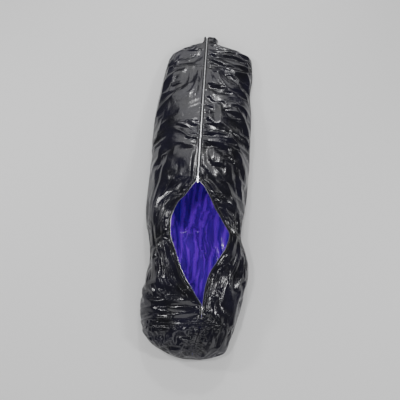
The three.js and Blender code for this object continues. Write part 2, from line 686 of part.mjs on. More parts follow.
// Slider: two wings with flanges round the chain, joined by a thin web that runs between the teeth.
const WING_INNER = 1.6;
const WING_OUTER = 3.0;
const FLANGE_INNER = 4.3;
const FLANGE_LIP = 0.75;
const WEB_HALF = 0.4;
const ARCH = { from: 5, to: 19, thick: 1.7, top: 7.2, hole: 6.0, half: 1.5 };
const PIVOT = { y: 9, z: 4.5 };
function sliderGeometry() {
  const half = [
    [WEB_HALF, WING_INNER], [FLANGE_INNER, WING_INNER], [FLANGE_INNER, FLANGE_LIP], [SLIDER_HALF, FLANGE_LIP],
    [SLIDER_HALF, WING_OUTER],
  ];
  const mirror = (points, sx, sz) => points.map(([x, z]) => [sx * x, sz * z]);
  const outline = [
    ...mirror(half, 1, 1),
    ...mirror([...half].reverse(), -1, 1),
    ...mirror(half, -1, -1),
    ...mirror([...half].reverse(), 1, -1),
  ];
  const profile = new THREE.Shape(outline.map(([x, z]) => new THREE.Vector2(x, z)));
  const bar = new THREE.ExtrudeGeometry(profile, { depth: SLIDER_LENGTH, bevelEnabled: false, steps: 1 })
    .rotateX(Math.PI / 2)
    .translate(0, SLIDER_LENGTH, 0);
  // Seen from above the wings narrow towards the closed teeth and are notched at the open end.
  const plan = new THREE.Shape(
    [[0, 3], [5, 0], [SLIDER_HALF, 1.5], [SLIDER_HALF, 9], [5.1, 15], [5.1, 22], [3.6, SLIDER_LENGTH],
      [-3.6, SLIDER_LENGTH], [-5.1, 22], [-5.1, 15], [-SLIDER_HALF, 9], [-SLIDER_HALF, 1.5], [-5, 0]].map(
      ([x, y]) => new THREE.Vector2(x, y),
    ),
  );
  const prism = new THREE.ExtrudeGeometry(plan, { depth: 12, bevelEnabled: false, steps: 1 });
  prism.translate(0, 0, -6);
  const wings = geometryOf(solidOf(bar).intersect(solidOf(prism)));
  // The arch that the pull hangs on.
  const arch = cut(
    box(-ARCH.half, ARCH.half, ARCH.from, ARCH.to, WING_OUTER - 0.3, ARCH.top),
    box(-3, 3, ARCH.from + ARCH.thick, ARCH.to - ARCH.thick, WING_OUTER - 1, ARCH.hole),
  );
  return join(wings, arch);
}

// Pull: a flat tab with a window at its root, whose end bar passes under the arch.
function pullGeometry() {
  const tab = new THREE.Shape(
    [[-3.3, 0.8], [3.3, 0.8], [3.3, -11], [4.5, -16], [4.5, -33], [2.6, -37], [-2.6, -37], [-4.5, -33],
      [-4.5, -16], [-3.3, -11]].map(([x, y]) => new THREE.Vector2(x, y)),
  );
  const window2d = new THREE.Path(
    [[-2.0, -0.8], [-2.0, -10.6], [2.0, -10.6], [2.0, -0.8]].map(([x, y]) => new THREE.Vector2(x, y)),
  );
  tab.holes.push(window2d);
  return new THREE.ExtrudeGeometry(tab, { depth: 1.6, bevelEnabled: false, steps: 1 }).translate(0, 0, -0.8);
}

for (const [name, x, y, along] of [
  ['upper', ZIP_X, UPPER_Y + 1, 1],
  ['lower', LOWER_X, LOWER_Y - 4, -1],
]) {
  const frame = new THREE.Group();
  frame.applyMatrix4(zipFrame(x, y, along));
  bag.add(frame);
  add(`${name}_slider`, sliderGeometry(), NICKEL, frame);
  const hinge = new THREE.Group();
  hinge.position.set(0, PIVOT.y, PIVOT.z);
  if (name === 'lower') hinge.rotation.z = Math.PI; // this pull lies away from the opening
  frame.add(hinge);
  add(`${name}_pull_tab`, pullGeometry(), NICKEL, hinge);
}

// Stops at the ends of the teeth.
const stops = new THREE.Group();
stops.applyMatrix4(zipFrame(ZIP_X, ZIP_TOP_Y, 1));
bag.add(stops);
add('left_top_stop', box(-4.2, -0.5, 0.4, 4.6, -1.7, 1.7), NICKEL, stops);
add('right_top_stop', box(0.5, 4.2, 0.4, 4.6, -1.7, 1.7), NICKEL, stops);
const bottom = new THREE.Group();
bottom.applyMatrix4(zipFrame(LOWER_X, ZIP_BOTTOM_Y, -1));
bag.add(bottom);
add('bottom_stop', box(-4.6, 4.6, 0.4, 5.4, -1.9, 1.9), NICKEL, bottom);

export default bag;
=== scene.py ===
"""An infrared sauna blanket, lying zipped up on its back: black film shell, blue lining, metal zip.

Shapes are worked out in millimetres as numpy grids over the same outer surface as the CAD model,
crumpled by a small cloth solver, and turned into Blender meshes in metres.
"""

import math

import bpy
import numpy as np
from mathutils import Matrix, Vector


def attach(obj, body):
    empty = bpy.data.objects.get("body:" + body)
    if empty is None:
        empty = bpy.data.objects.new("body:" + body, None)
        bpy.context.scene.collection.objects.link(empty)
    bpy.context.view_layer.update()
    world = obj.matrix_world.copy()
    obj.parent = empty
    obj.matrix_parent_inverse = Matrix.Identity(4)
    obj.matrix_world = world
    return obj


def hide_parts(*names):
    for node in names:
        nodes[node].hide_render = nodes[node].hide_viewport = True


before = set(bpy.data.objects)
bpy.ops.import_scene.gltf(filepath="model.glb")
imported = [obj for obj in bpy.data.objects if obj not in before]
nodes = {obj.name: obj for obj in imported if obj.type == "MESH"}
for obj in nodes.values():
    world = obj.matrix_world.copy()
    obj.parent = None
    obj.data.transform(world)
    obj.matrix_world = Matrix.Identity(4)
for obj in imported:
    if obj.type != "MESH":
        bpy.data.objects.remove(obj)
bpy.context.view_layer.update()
MM = 0.001
BODY = "blanket"

# ---------- driving dimensions, millimetres, as in the CAD source ----------

HEAD_Y, FOOT_Y = 1100.0, -1100.0
SEAM_Z = 22.0  # height of the seam round the rim
FLAT = 12.0  # half width of the flat top of each cross-section
LEFT_OUTLINE = [
    (-1100, -30), (-1088, -85), (-1060, -150), (-1020, -215), (-960, -256), (-820, -280),
    (-560, -256), (-250, -306), (50, -308), (400, -318), (700, -294), (880, -270), (940, -250),
    (985, -197), (1030, -95), (1050, -42), (1100, -32),
]  # fmt: skip
RIGHT_OUTLINE = [
    (-1100, 60), (-1088, 122), (-1055, 192), (-1000, 212), (-930, 238), (-800, 270), (-600, 303),
    (-390, 262), (-150, 287), (150, 306), (450, 314), (640, 303), (800, 318), (915, 311),
    (953, 303), (985, 240), (1012, 150), (1045, 80), (1060, 70), (1100, 68),
]  # fmt: skip
ZIP_X, UPPER_Y, UPPER_Z, UPPER_SLOPE = -10.0, -146.0, 255.0, -0.15
LOWER_X, LOWER_Y, LOWER_Z, LOWER_SLOPE = 55.0, -853.0, 205.0, 0.12
CREST_Y = -930.0
ZIP_TOP_Y, ZIP_BOTTOM_Y = 1085.0, -916.0
YOKE_SEAM_Y, FOOT_SEAM_Y, NECK_SEAM_Y = 800.0, -950.0, 1045.0
BATTING_HEAD_Y = 975.0
LEFT_EDGE = [
    (LOWER_Y, LOWER_X), (-760, -10), (-700, -50), (-640, -78), (-560, -108), (-470, -140),
    (-400, -143), (-345, -130), (-300, -112), (-250, -72), (-190, -38), (UPPER_Y, ZIP_X),
]  # fmt: skip
RIGHT_EDGE = [
    (LOWER_Y, LOWER_X), (-775, 62), (-690, 82), (-625, 118), (-525, 170), (-460, 184),
    (-400, 148), (-320, 96), (-250, 62), (-185, 25), (UPPER_Y, ZIP_X),
]  # fmt: skip
SHELL_THICK = 0.8
BATTING = (8.4, 11.4)  # depths of its two faces
HEATER_DEPTH = 12.0
LINING_DEPTH, NECK_LINING_DEPTH = 13.2, 4.0
CHAIN_DEPTH = 1.6
SHELL_EDGE, BATTING_EDGE, TAPE_FROM, TAPE_TO = 9.0, 14.0, 2.2, 24.0  # distances from the zip line
CELL = 3.8  # size of the finest cloth cells
COARSEST = 8  # finest cells in one of the widest
LINING_THICK = 0.7
SIDES = {"left": -1, "right": 1}
BOTH = (-1, 1)

# ---------- the outer surface ----------


def smooth_through(points):
    """A smooth function through (y, value) points that never overshoots them."""
    y, v = np.array(points, float).T
    step = np.diff(y)
    slope = np.diff(v) / step
    same = slope[:-1] * slope[1:] > 0
    total = np.where(same, slope[:-1] + slope[1:], 1)
    inner = np.where(same, 2 * slope[:-1] * slope[1:] / total, 0)
    tangent = np.concatenate([slope[:1], inner, slope[-1:]])

    def at(q):
        q = np.asarray(q, float)
        k = np.clip(np.searchsorted(y, q) - 1, 0, len(step) - 1)
        t = np.clip((q - y[k]) / step[k], 0, 1)
        r = 1 - t
        ends = v[k] * (1 + 2 * t) * r * r + v[k + 1] * t * t * (3 - 2 * t)
        return ends + step[k] * t * r * (tangent[k] * r - tangent[k + 1] * t)

    return at


outline_at = {-1: smooth_through(LEFT_OUTLINE), 1: smooth_through(RIGHT_OUTLINE)}
edge_at = {-1: smooth_through(LEFT_EDGE), 1: smooth_through(RIGHT_EDGE)}


def smoothstep(x, low, high):
    t = np.clip((x - low) / (high - low), 0, 1)
    return t * t * (3 - 2 * t)


def apex_x(y):
    """X of the bag's highest line, which the closed zip follows."""
    y = np.asarray(y, float)
    middle = LOWER_X + (ZIP_X - LOWER_X) * smoothstep(y, LOWER_Y, UPPER_Y)
    foot = 20 + (LOWER_X - 20) * smoothstep(y, FOOT_Y, CREST_Y)
    return np.where(y >= LOWER_Y, middle, foot)


def ridge_z(y):
    y = np.asarray(y, float)
    upper = UPPER_Z + UPPER_SLOPE * (y - UPPER_Y)
    lower = LOWER_Z + LOWER_SLOPE * (y - LOWER_Y)
    span = UPPER_Y - LOWER_Y
    t = np.clip((y - LOWER_Y) / span, 0, 1)
    r = 1 - t
    open_stretch = LOWER_Z * (1 + 2 * t) * r * r + UPPER_Z * t * t * (3 - 2 * t)
    open_stretch += span * t * r * (LOWER_SLOPE * r - UPPER_SLOPE * t)
    fall = np.clip((CREST_Y - y) / (CREST_Y - FOOT_Y), 0, 1)
    crest = LOWER_Z + LOWER_SLOPE * (CREST_Y - LOWER_Y)
    foot = SEAM_Z + (crest - SEAM_Z) * np.sqrt(1 - fall * fall)
    return np.select([y >= UPPER_Y, y >= LOWER_Y, y >= CREST_Y], [upper, open_stretch, lower], foot)


ANGLES = np.linspace(math.pi / 2, 0, 241)
ROUNDNESS = 2 / 2.35


def section(y, side):
    """Half cross-sections at y, seam to apex: distance from the apex, height and arc length."""
    width = np.abs(outline_at[side](y) - apex_x(y)) - FLAT
    height = ridge_z(y) - SEAM_Z
    across = FLAT + width[:, None] * np.sin(ANGLES) ** ROUNDNESS
    up = SEAM_Z + height[:, None] * np.cos(ANGLES).clip(0) ** ROUNDNESS
    across = np.hstack([across, np.zeros((len(y), 1))])
    up = np.hstack([up, ridge_z(y)[:, None]])
    steps = np.hypot(np.diff(across), np.diff(up))
    return across, up, np.hstack([np.zeros((len(y), 1)), np.cumsum(steps, 1)])


def row_lookup(values, keys, wanted):
    return np.stack([np.interp(w, k, v) for w, k, v in zip(wanted, keys, values, strict=True)])


def place(y, side, share):
    """Points of the outer surface at rows y and shares of the arc from seam to apex."""
    across, up, arc = section(y, side)
    wanted = share * arc[:, -1:]
    x = apex_x(y)[:, None] + side * row_lookup(across, arc, wanted)
    z = row_lookup(up, arc, wanted)
    return np.stack([x, np.broadcast_to(y[:, None], x.shape), z], -1)


def unit(v):
    return v / np.linalg.norm(v, axis=-1, keepdims=True).clip(1e-9)


def running(steps):
    """Distances travelled after each of these steps, from 0."""
    return np.concatenate([[0], np.cumsum(steps)])


def along_line(line, travelled, at):
    """Places on a line of points at distances along it."""
    return np.stack([np.interp(at, travelled, line[:, k]) for k in range(3)], -1)


def surface(y, side, arcs):
    """Points and outward normals of the outer surface at rows y and arcs from the seam."""
    y = np.asarray(y, float)
    total = section(y, side)[2][:, -1:]
    share = arcs / total
    along = place(np.minimum(y + 1, HEAD_Y), side, share)
    along -= place(np.maximum(y - 1, FOOT_Y), side, share)
    nudge = 1.5 / total
    up = place(y, side, np.minimum(share + nudge, 1)) - place(y, side, np.maximum(share - nudge, 0))
    normal = unit(np.cross(along, up) * side)
    normal[y <= FOOT_Y] = (0, -1, 0)
    return place(y, side, share), normal


def zip_x(y, side):
    opened = (y > LOWER_Y) & (y < UPPER_Y)
    return np.where(opened, edge_at[side](y), apex_x(y))


def zip_arc(y, side):
    """Arc from the side seam to the zip line, or to the middle seam below the zip."""
    across, _, arc = section(y, side)
    away = np.abs(zip_x(y, side) - apex_x(y))
    return np.array([np.interp(-d, -a, s) for d, a, s in zip(away, across, arc, strict=True)])


def slant(y, side):
    lean = np.hypot(1, (zip_x(y + 4, side) - zip_x(y - 4, side)) / 8)
    return np.where(y > CREST_Y, lean, 1)


def rows_between(low, high, cell):
    """Rows from low to high, evenly spaced along the ridge."""
    fine = np.linspace(low, high, 2000)
    length = running(np.hypot(np.diff(fine), np.diff(ridge_z(fine))))
    count = max(1, round(length[-1] / cell / COARSEST)) * COARSEST + 1
    return np.interp(np.linspace(0, length[-1], count), length, fine)


def plan_normal(y, side):
    lean = (outline_at[side](y + 1) - outline_at[side](y - 1)) / 2
    return unit(np.stack([np.full_like(y, side), -side * lean, np.zeros_like(y)], -1))


# ---------- cloth ----------


def between(grid, k, t, axis):
    """A grid resampled along one axis, at share t from row k to the next."""
    return np.take(grid, k, axis) * (1 - t) + np.take(grid, k + 1, axis) * t


def soft_noise(shape, cell, rng):
    """Smooth random values of about unit size, with bumps "cell" grid steps apart."""
    out = rng.standard_normal([int(n / c) + 3 for n, c in zip(shape, cell, strict=True)])
    for axis, (n, c) in enumerate(zip(shape, cell, strict=True)):
        at = np.arange(n) / c
        k = at.astype(int)
        t = at - k
        t = t * t * (3 - 2 * t)
        t = t.reshape([-1, 1] if axis == 0 else [1, -1])
        out = between(out, k, t, axis)
    return out


def blurred(grid, rounds):
    for _ in range(rounds):
        padded = np.pad(grid, 1, "edge")
        grid = (padded[:-2, 1:-1] + 2 * grid + padded[2:, 1:-1]) / 4
        padded = np.pad(grid, 1, "edge")
        grid = (padded[1:-1, :-2] + 2 * grid + padded[1:-1, 2:]) / 4
    return grid


def looked_up(grid, i, j):
    """Values of a grid at fractional places."""
    i, j = np.clip(i, 0, grid.shape[0] - 1.001), np.clip(j, 0, grid.shape[1] - 1.001)
    i0, j0 = i.astype(int), j.astype(int)
    u, v = i - i0, j - j0
    upper = grid[i0, j0] * (1 - v) + grid[i0, j0 + 1] * v
    lower = grid[i0 + 1, j0] * (1 - v) + grid[i0 + 1, j0 + 1] * v
    return upper * (1 - u) + lower * u


def streaks(turn, width, reach, rng):
    """Random folds of about unit height that run along the directions in "turn"."""
    out = blurred(rng.standard_normal(turn.shape), width)
    rows, columns = np.indices(turn.shape)
    for step in reach:
        i, j = step * np.sin(turn), step * np.cos(turn)
        ahead, behind = looked_up(out, rows + i, columns + j), looked_up(out, rows - i, columns - j)
        out = (out + ahead + behind) / 3
    return (out - out.mean()) / out.std()


def links(shape):
    """The cloth's threads as pairs of grid slices, with no point twice in one pair."""
    pairs = []
    for axis in (0, 1):
        for start in (0, 1):
            a, b = [slice(None)] * 2, [slice(None)] * 2
            a[axis] = slice(start, shape[axis] - 1, 2)
            b[axis] = slice(start + 1, shape[axis], 2)
            pairs.append((tuple(a), tuple(b), axis))
    first, last = slice(0, -1), slice(1, None)
    for start in (0, 1):
        for kind, left, right in ((2, first, last), (3, last, first)):
            a = (slice(start, shape[0] - 1, 2), left)
            b = (slice(start + 1, shape[0], 2), right)
            pairs.append((a, b, kind))
    return pairs


# How the solver corrects a thread along or across and a diagonal one, how it always evens out bends,
# and how fast it undoes sliding and too great a depth.
THREAD_PULL, DIAGONAL_PULL = 0.5, 0.3
LEAST_BENDING = 0.004
SLIDE_BACK, PUSH_BACK = 0.02, 0.35


def relax(points, flat, normal, free, low, high, excess, rounds, stiffness, crease):
    """Lets a cloth longer than its place by "excess" buckle between two depths of its surface.

    excess holds one array for each kind of thread: along, across and the two diagonals.
    """
    threads = []
    for a, b, kind in links(flat.shape[:2]):
        spare = (excess[kind][a] + excess[kind][b]) / 2
        rest = np.linalg.norm(flat[b] - flat[a], axis=-1) * (1 + spare)
        threads.append((a, b, rest, THREAD_PULL if kind < 2 else DIAGONAL_PULL))
    loose = free[..., None]
    for _ in range(rounds):
        for a, b, rest, share in threads:
            gap = points[b] - points[a]
            length = np.sqrt(np.einsum("ijk,ijk->ij", gap, gap)).clip(1e-6)
            gap *= (share * (1 - rest / length))[..., None]
            points[a] += gap * loose[a]
            points[b] -= gap * loose[b]
        inner = points[1:-1, 1:-1]
        along = (points[:-2, 1:-1] + points[2:, 1:-1]) / 2 - inner
        across = (points[1:-1, :-2] + points[1:-1, 2:]) / 2 - inner
        # Film bends stiffly until it creases, so a sharp bend is straightened less than a slight one.
        for bend in (along, across):
            sharp = np.einsum("ijk,ijk->ij", bend, bend)[..., None] / crease**2
            inner += (LEAST_BENDING + stiffness / (1 + sharp)) * bend * loose[1:-1, 1:-1]
        shift = points - flat
        depth = np.einsum("ijk,ijk->ij", shift, normal)
        points -= SLIDE_BACK * (shift - depth[..., None] * normal) * loose
        points += PUSH_BACK * (np.clip(depth, low, high) - depth)[..., None] * normal * loose
    return points


def double(grid, shape):
    """A grid brought to twice its resolution, for the next level of the solver."""
    out = grid
    for axis in (0, 1):
        n = out.shape[axis]
        at = np.linspace(0, n - 1, shape[axis])
        k = np.minimum(at.astype(int), n - 2)
        t = (at - k).reshape([-1, 1, 1] if axis == 0 else [1, -1, 1])
        out = between(out, k, t, axis)
    return out


# For each level, widest folds first: rounds of the solver, bending stiffness, the bend at which it
# creases and the first disturbance, both in millimetres, and the part of the excess let in so far.
CREASING = [
    (300, 0.0, 3.0, 7.0, 0.55), (240, 0.02, 1.2, 3.6, 0.8),
    (130, 0.05, 0.45, 1.4, 1.0), (40, 0.06, 0.16, 0.3, 1.0),
]  # fmt: skip
LINING_CREASING = [(150, 0.0, 1.2, 5.0, 0.4), (150, 0.01, 0.6, 5.0, 0.75), (80, 0.03, 0.3, 2.5, 1.0)]


def held_edges(shape):
    """1 where a cloth is free to move, 0 along its four edges."""
    free = np.ones(shape)
    free[0] = free[-1] = 0
    free[:, 0] = free[:, -1] = 0
    return free


def uneven(shape, cell, rng, least, more, contrast=1.0):
    """A patchy amount from "least" up to "more" above it."""
    return least + more * (0.5 + 0.5 * np.tanh(contrast * soft_noise(shape, cell, rng)))


def crumple(flat, normal, low, high, excess, turn, seed, creasing=CREASING):
    """Crumples a cloth held by its edges, wide folds first and then finer and finer creases."""
    rng = np.random.default_rng(seed)
    free = held_edges(flat.shape[:2])
    offset = None
    for step, (rounds, stiffness, crease, disturbance, share) in enumerate(creasing):
        every = 2 ** (len(creasing) - 1 - step)
        pick = (slice(None, None, every), slice(None, None, every))
        start, out, loose = flat[pick], normal[pick], free[pick]
        shape = start.shape[:2]
        offset = np.zeros_like(start) if offset is None else double(offset, shape)
        kick = streaks(turn[pick], 2, (1, 2, 3, 5), rng) * disturbance
        points = start + offset + (kick * loose)[..., None] * out
        limits = [np.broadcast_to(v, flat.shape[:2])[pick] for v in (low, high)]
        stretch = [share * np.broadcast_to(e, flat.shape[:2])[pick] for e in excess]
        points = relax(points, start, out, loose, *limits, stretch, rounds, stiffness, crease)
        offset = points - start
    return flat + offset


# ---------- making Blender objects ----------


def linked(name, data):
    """A new object in the scene."""
    obj = bpy.data.objects.new(name, data)
    bpy.context.scene.collection.objects.link(obj)
    return obj


def evaluated_mesh(obj):
    bpy.context.view_layer.update()
    return bpy.data.meshes.new_from_object(obj.evaluated_get(bpy.context.evaluated_depsgraph_get()))


def mesh_object(name, vertices, faces, smooth=True):
    mesh = bpy.data.meshes.new(name)
    mesh.from_pydata((np.asarray(vertices, float) * MM).tolist(), [], faces)
    mesh.validate()
    mesh.shade_smooth() if smooth else mesh.shade_flat()
    return linked(name, mesh)


def grid_faces(rows, columns, flip=False, skip=None):
    i, j = np.meshgrid(np.arange(rows - 1), np.arange(columns - 1), indexing="ij")
    a = (i * columns + j).ravel()
    quads = np.stack([a, a + 1, a + columns + 1, a + columns], -1)
    if skip is not None:
        quads = quads[~skip[:-1, :-1].ravel()]
    return (quads[:, ::-1] if flip else quads).tolist()


def fold_shade_mask(sheet, flat, normal):
    """How high each point stands above the folds round it, from 0 in a valley to 1 on a crest."""
    # Only a colour mask: painted shade in the lining's fold valleys and painted highlight on its crests.
    height = ((sheet - flat) * normal).sum(-1)
    height = height - blurred(height, 30)
    return np.clip(0.5 + height / height.std() / 3, 0, 1)


def cloth_object(name, grid, normal, thickness, skip=None, folds=None):
    """A sheet from a grid of points, thickened inwards from the side its normals point to."""
    rows, columns = grid.shape[:2]
    ahead = np.cross(grid[1:, :-1] - grid[:-1, :-1], grid[:-1, 1:] - grid[:-1, :-1])
    flip = (ahead * normal[:-1, :-1]).sum() > 0
    obj = mesh_object(name, grid.reshape(-1, 3), grid_faces(rows, columns, flip, skip))
    if folds is not None:
        # The folds attribute is a colour mask for painted shade in fold valleys and painted highlight on
        # crests.
        obj.data.attributes.new("folds", "FLOAT", "POINT").data.foreach_set("value", folds.ravel())
    solid = obj.modifiers.new("thickness", "SOLIDIFY")
    solid.thickness = thickness * MM
    solid.offset = -1
    return obj


def paint(obj, material):
    obj.data.materials.clear()
    obj.data.materials.append(material)


def put(obj, material, replaces=(), body=BODY):
    """Gives a piece its material, the CAD nodes it replaces and its body."""
    paint(obj, material)
    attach(obj, body)
    if replaces:
        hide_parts(*replaces)
    return obj


def tube_object(name, points, radius):
    """Round piping through points in millimetres."""
    curve = bpy.data.curves.new(name, "CURVE")
    curve.dimensions = "3D"
    spline = curve.splines.new("POLY")
    spline.points.add(len(points) - 1)
    flat = np.hstack([np.asarray(points) * MM, np.ones((len(points), 1))])
    spline.points.foreach_set("co", flat.ravel())
    curve.bevel_depth = radius * MM
    curve.bevel_resolution = 3
    curve.use_fill_caps = True
    return curve_to_mesh(name, curve)


def curve_to_mesh(name, curve):
    holder = linked(name, curve)
    mesh = evaluated_mesh(holder)
    bpy.data.objects.remove(holder)
    mesh.name = name
    mesh.shade_smooth()
    return linked(name, mesh)


def plate_object(name, outlines, thickness, edge, matrix):
    """A flat plate with rounded edges, from plan outlines in millimetres (later ones are holes)."""
    curve = bpy.data.curves.new(name, "CURVE")
    curve.dimensions = "2D"
    curve.fill_mode = "BOTH"
    for outline in outlines:
        spline = curve.splines.new("POLY")
        spline.points.add(len(outline) - 1)
        for p, (x, y) in zip(spline.points, outline, strict=True):
            p.co = (x * MM, y * MM, 0, 1)
        spline.use_cyclic_u = True
    curve.extrude = (thickness / 2 - edge) * MM
    curve.bevel_depth = edge * MM
    curve.bevel_resolution = 2
    curve.offset = -edge * MM
    obj = curve_to_mesh(name, curve)
    obj.data.transform(matrix)
    return obj


def join(name, parts):
    """Several meshes as one object."""
    vertices, faces, start = [], [], 0
    for part in parts:
        vertices += [tuple(v.co) for v in part.data.vertices]
        faces += [[start + k for k in p.vertices] for p in part.data.polygons]
        start = len(vertices)
        bpy.data.objects.remove(part)
    mesh = bpy.data.meshes.new(name)
    mesh.from_pydata(vertices, [], faces)
    mesh.shade_smooth()
    return linked(name, mesh)


# ---------- materials ----------


class Shader:
    """A Principled material built node by node."""

    def __init__(self, name, **sockets):
        self.material = bpy.data.materials.new(name)
        self.material.use_nodes = True
        self.nodes = self.material.node_tree.nodes
        self.links = self.material.node_tree.links
        self.shader = self.nodes["Principled BSDF"]
        for key, value in sockets.items():
            self.shader.inputs[key.replace("_", " ")].default_value = value
        self.coordinates = self.nodes.new("ShaderNodeTexCoord").outputs["Object"]
        self.height = None

    def node(self, kind, links=(), **values):
        made = self.nodes.new("ShaderNode" + kind)
        for key, value in values.items():
            if key in made.inputs:
                made.inputs[key].default_value = value
            else:
                setattr(made, key, value)
        for key, source in dict(links).items():
            self.links.new(source, made.inputs[key])
        return made

    def stretched(self, scale, rotation=(0, 0, 0)):
        mapping = self.node("Mapping", {"Vector": self.coordinates}, Scale=scale, Rotation=rotation)
        return mapping.outputs["Vector"]

    def noise(self, scale, detail=3.0, roughness=0.55, distortion=0.0, vector=None):
        values = {"Scale": scale, "Detail": detail, "Roughness": roughness, "Distortion": distortion}
        return self.node("TexNoise", {"Vector": vector or self.coordinates}, **values).outputs["Fac"]

    def waves(self, scale, **values):
        sources = {"Vector": self.coordinates}
        return self.node("TexWave", sources, bands_direction="Y", Scale=scale, **values).outputs["Fac"]

    def ramp(self, source, stops):
        made = self.node("ValToRGB", {"Fac": source})
        elements = made.color_ramp.elements
        while len(elements) < len(stops):
            elements.new(0.5)
        for element, (position, value) in zip(elements, stops, strict=True):
            element.position = position
            element.color = (*value, 1) if hasattr(value, "__len__") else (value, value, value, 1)
        return made.outputs["Color"]

    def bump(self, source, distance, strength=1.0):
        """Adds a layer of relief, "distance" millimetres high."""
        sources = {"Height": source}
        if self.height is not None:
            sources["Normal"] = self.height
        made = self.node("Bump", sources, Distance=distance * MM, Strength=strength)
        self.height = made.outputs["Normal"]
        self.links.new(self.height, self.shader.inputs["Normal"])

    def drive(self, socket, source, low, high, low_at=0.3, high_at=0.7):
        """Lets a pattern vary a socket between two colours or numbers."""
        varied = self.ramp(source, [(low_at, low), (high_at, high)])
        self.links.new(varied, self.shader.inputs[socket])


def scaled(color, factor):
    return [c * factor for c in color]


def film(name, dark, light, rough, creases, gloss, shade_by_folds=False):
    """Glossy coated film: uneven colour and gloss, fine creases and a faint pebble grain.

    A film whose colour follows its folds is painted darker in the valleys and paler on the crests: painted
    shade and painted highlight.
    """
    s = Shader(name, Specular_IOR_Level=gloss, Coat_Weight=0.15, Coat_Roughness=0.08)
    # The lining's colour follows its fold mask: painted shade in valleys and painted highlight on crests.
    # Other films vary in random patches, whose violet tint on the black film is a painted reflection.
    patches_and_painted_light = s.node("Attribute", attribute_name="folds").outputs["Fac"] if shade_by_folds else s.noise(7.0, 5.0)
    s.drive("Base Color", patches_and_painted_light, dark, light, high_at=0.72)
    s.drive("Roughness", s.noise(26.0, 4.0), *rough, high_at=0.75)
    long_creases = s.noise(34.0, 2.0, 0.5, 1.6, s.stretched((1.0, 0.45, 1.0), (0, 0, 0.6)))
    s.bump(s.ramp(long_creases, [(0.42, 0.0), (0.5, 1.0), (0.58, 0.0)]), creases)
    s.bump(s.noise(900.0, 1.0), 0.02, 0.3)
    return s.material


def cloth_tape(name, color):
    s = Shader(name, Specular_IOR_Level=0.25, Sheen_Weight=0.25, Sheen_Roughness=0.5, Roughness=0.85)
    s.drive("Base Color", s.noise(60.0), scaled(color, 0.7), scaled(color, 1.5))
    s.bump(s.waves(620.0, Distortion=0.6), 0.22)
    s.bump(s.noise(1400.0), 0.08, 0.6)
    return s.material


def metal(name, color, rough):
    s = Shader(name, Metallic=1.0)
    s.drive("Base Color", s.noise(140.0), scaled(color, 0.82), color)
    s.drive("Roughness", s.noise(420.0, 4.0), *rough, high_at=0.75)
    s.bump(s.noise(900.0, 3.0, vector=s.stretched((1, 0.12, 1))), 0.015, 0.5)
    return s.material


def moulded(name, color, rough=0.5):
    s = Shader(name, Specular_IOR_Level=0.45)
    s.drive("Base Color", s.noise(80.0), scaled(color, 0.75), scaled(color, 1.25))
    s.drive("Roughness", s.noise(300.0), rough - 0.08, rough + 0.08)
    s.bump(s.noise(1500.0, 2.0), 0.05, 0.6)
    return s.material


def wadding(name):
    s = Shader(name, Specular_IOR_Level=0.2, Sheen_Weight=0.3, Roughness=0.95)
    s.drive("Base Color", s.noise(160.0, 8.0), (0.62, 0.6, 0.56), (0.86, 0.85, 0.81))
    s.bump(s.noise(420.0, 8.0, 0.7, 2.0), 0.8)
    return s.material


def carbon(name):
    s = Shader(name, Specular_IOR_Level=0.5)
    bands = s.waves(18.0, wave_profile="TRI")
    s.drive("Base Color", bands, (0.012, 0.012, 0.013), (0.07, 0.07, 0.075), 0.35, 0.42)
    s.drive("Roughness", s.noise(220.0), 0.38, 0.55)
    s.bump(bands, 0.05, 0.5)
    return s.material


# The black film's paler patches are tinted violet: a painted reflection, spread at random over the film.
BLACK = film("black_film", (0.002, 0.002, 0.004), (0.006, 0.005, 0.018), (0.16, 0.28), 0.2, 0.4)
# The lining's blue is its own colour; its darker valleys and paler crests are painted shade and painted
# highlight.
BLUE = film("blue_film", (0.1, 0.0, 0.55), (0.26, 0.002, 1.0), (0.16, 0.28), 0.2, 0.3, True)
TAPE = cloth_tape("zip_tape_weave", (0.012, 0.012, 0.014))
THREAD = cloth_tape("black_thread", (0.015, 0.015, 0.017))
SILVER = metal("zip_metal", (0.45, 0.45, 0.46), (0.25, 0.4))
BRIGHT = metal("plated_metal", (0.86, 0.86, 0.87), (0.1, 0.22))
BRASS = metal("contact_brass", (0.75, 0.56, 0.25), (0.15, 0.3))
NYLON = moulded("black_nylon", (0.02, 0.02, 0.022))
SILICONE = moulded("silicone_sleeve", (0.5, 0.13, 0.08), 0.6)
WADDING = wadding("wadding")
CARBON = carbon("carbon_film")

# Looks of the CAD pieces that stay.
CAD_LOOKS = [
    (("heater", "cross_lead"), CARBON),
    (("loom", "rim_lead"), SILICONE),
    (("pin_",), BRASS),
    (("screw", "stop"), BRIGHT),
    (("inlet_housing", "cutout"), NYLON),
]
for name, node in nodes.items():
    for words, look in CAD_LOOKS:
        if any(word in name for word in words):
            paint(node, look)
            break

# ---------- power inlet: the shell is cut and flattened round its flange ----------

housing = np.array([v.co for v in nodes["inlet_housing"].data.vertices]) / MM
inlet_centre = housing.mean(0)
spread = np.linalg.svd(housing - inlet_centre)[2]
inlet_out = spread[2] * np.sign(spread[2][0])
inlet_axes = spread[:2]
FLANGE_THICK = 2.4
inlet_face = ((housing - inlet_centre) @ inlet_out).max() - FLANGE_THICK
inlet_half = [np.abs((housing - inlet_centre) @ a).max() for a in inlet_axes]
PADDING_BEHIND, LINING_BEHIND = 11.0, 16.5  # how far behind the flange each layer passes


def from_inlet(points):
    """Distance outside the inlet's outline, height over its middle, and what is on its side."""
    local = points - inlet_centre
    away = [np.abs(local @ a) - half for a, half in zip(inlet_axes, inlet_half, strict=True)]
    height = local @ inlet_out
    return np.maximum(*away), height, np.abs(height) < 60


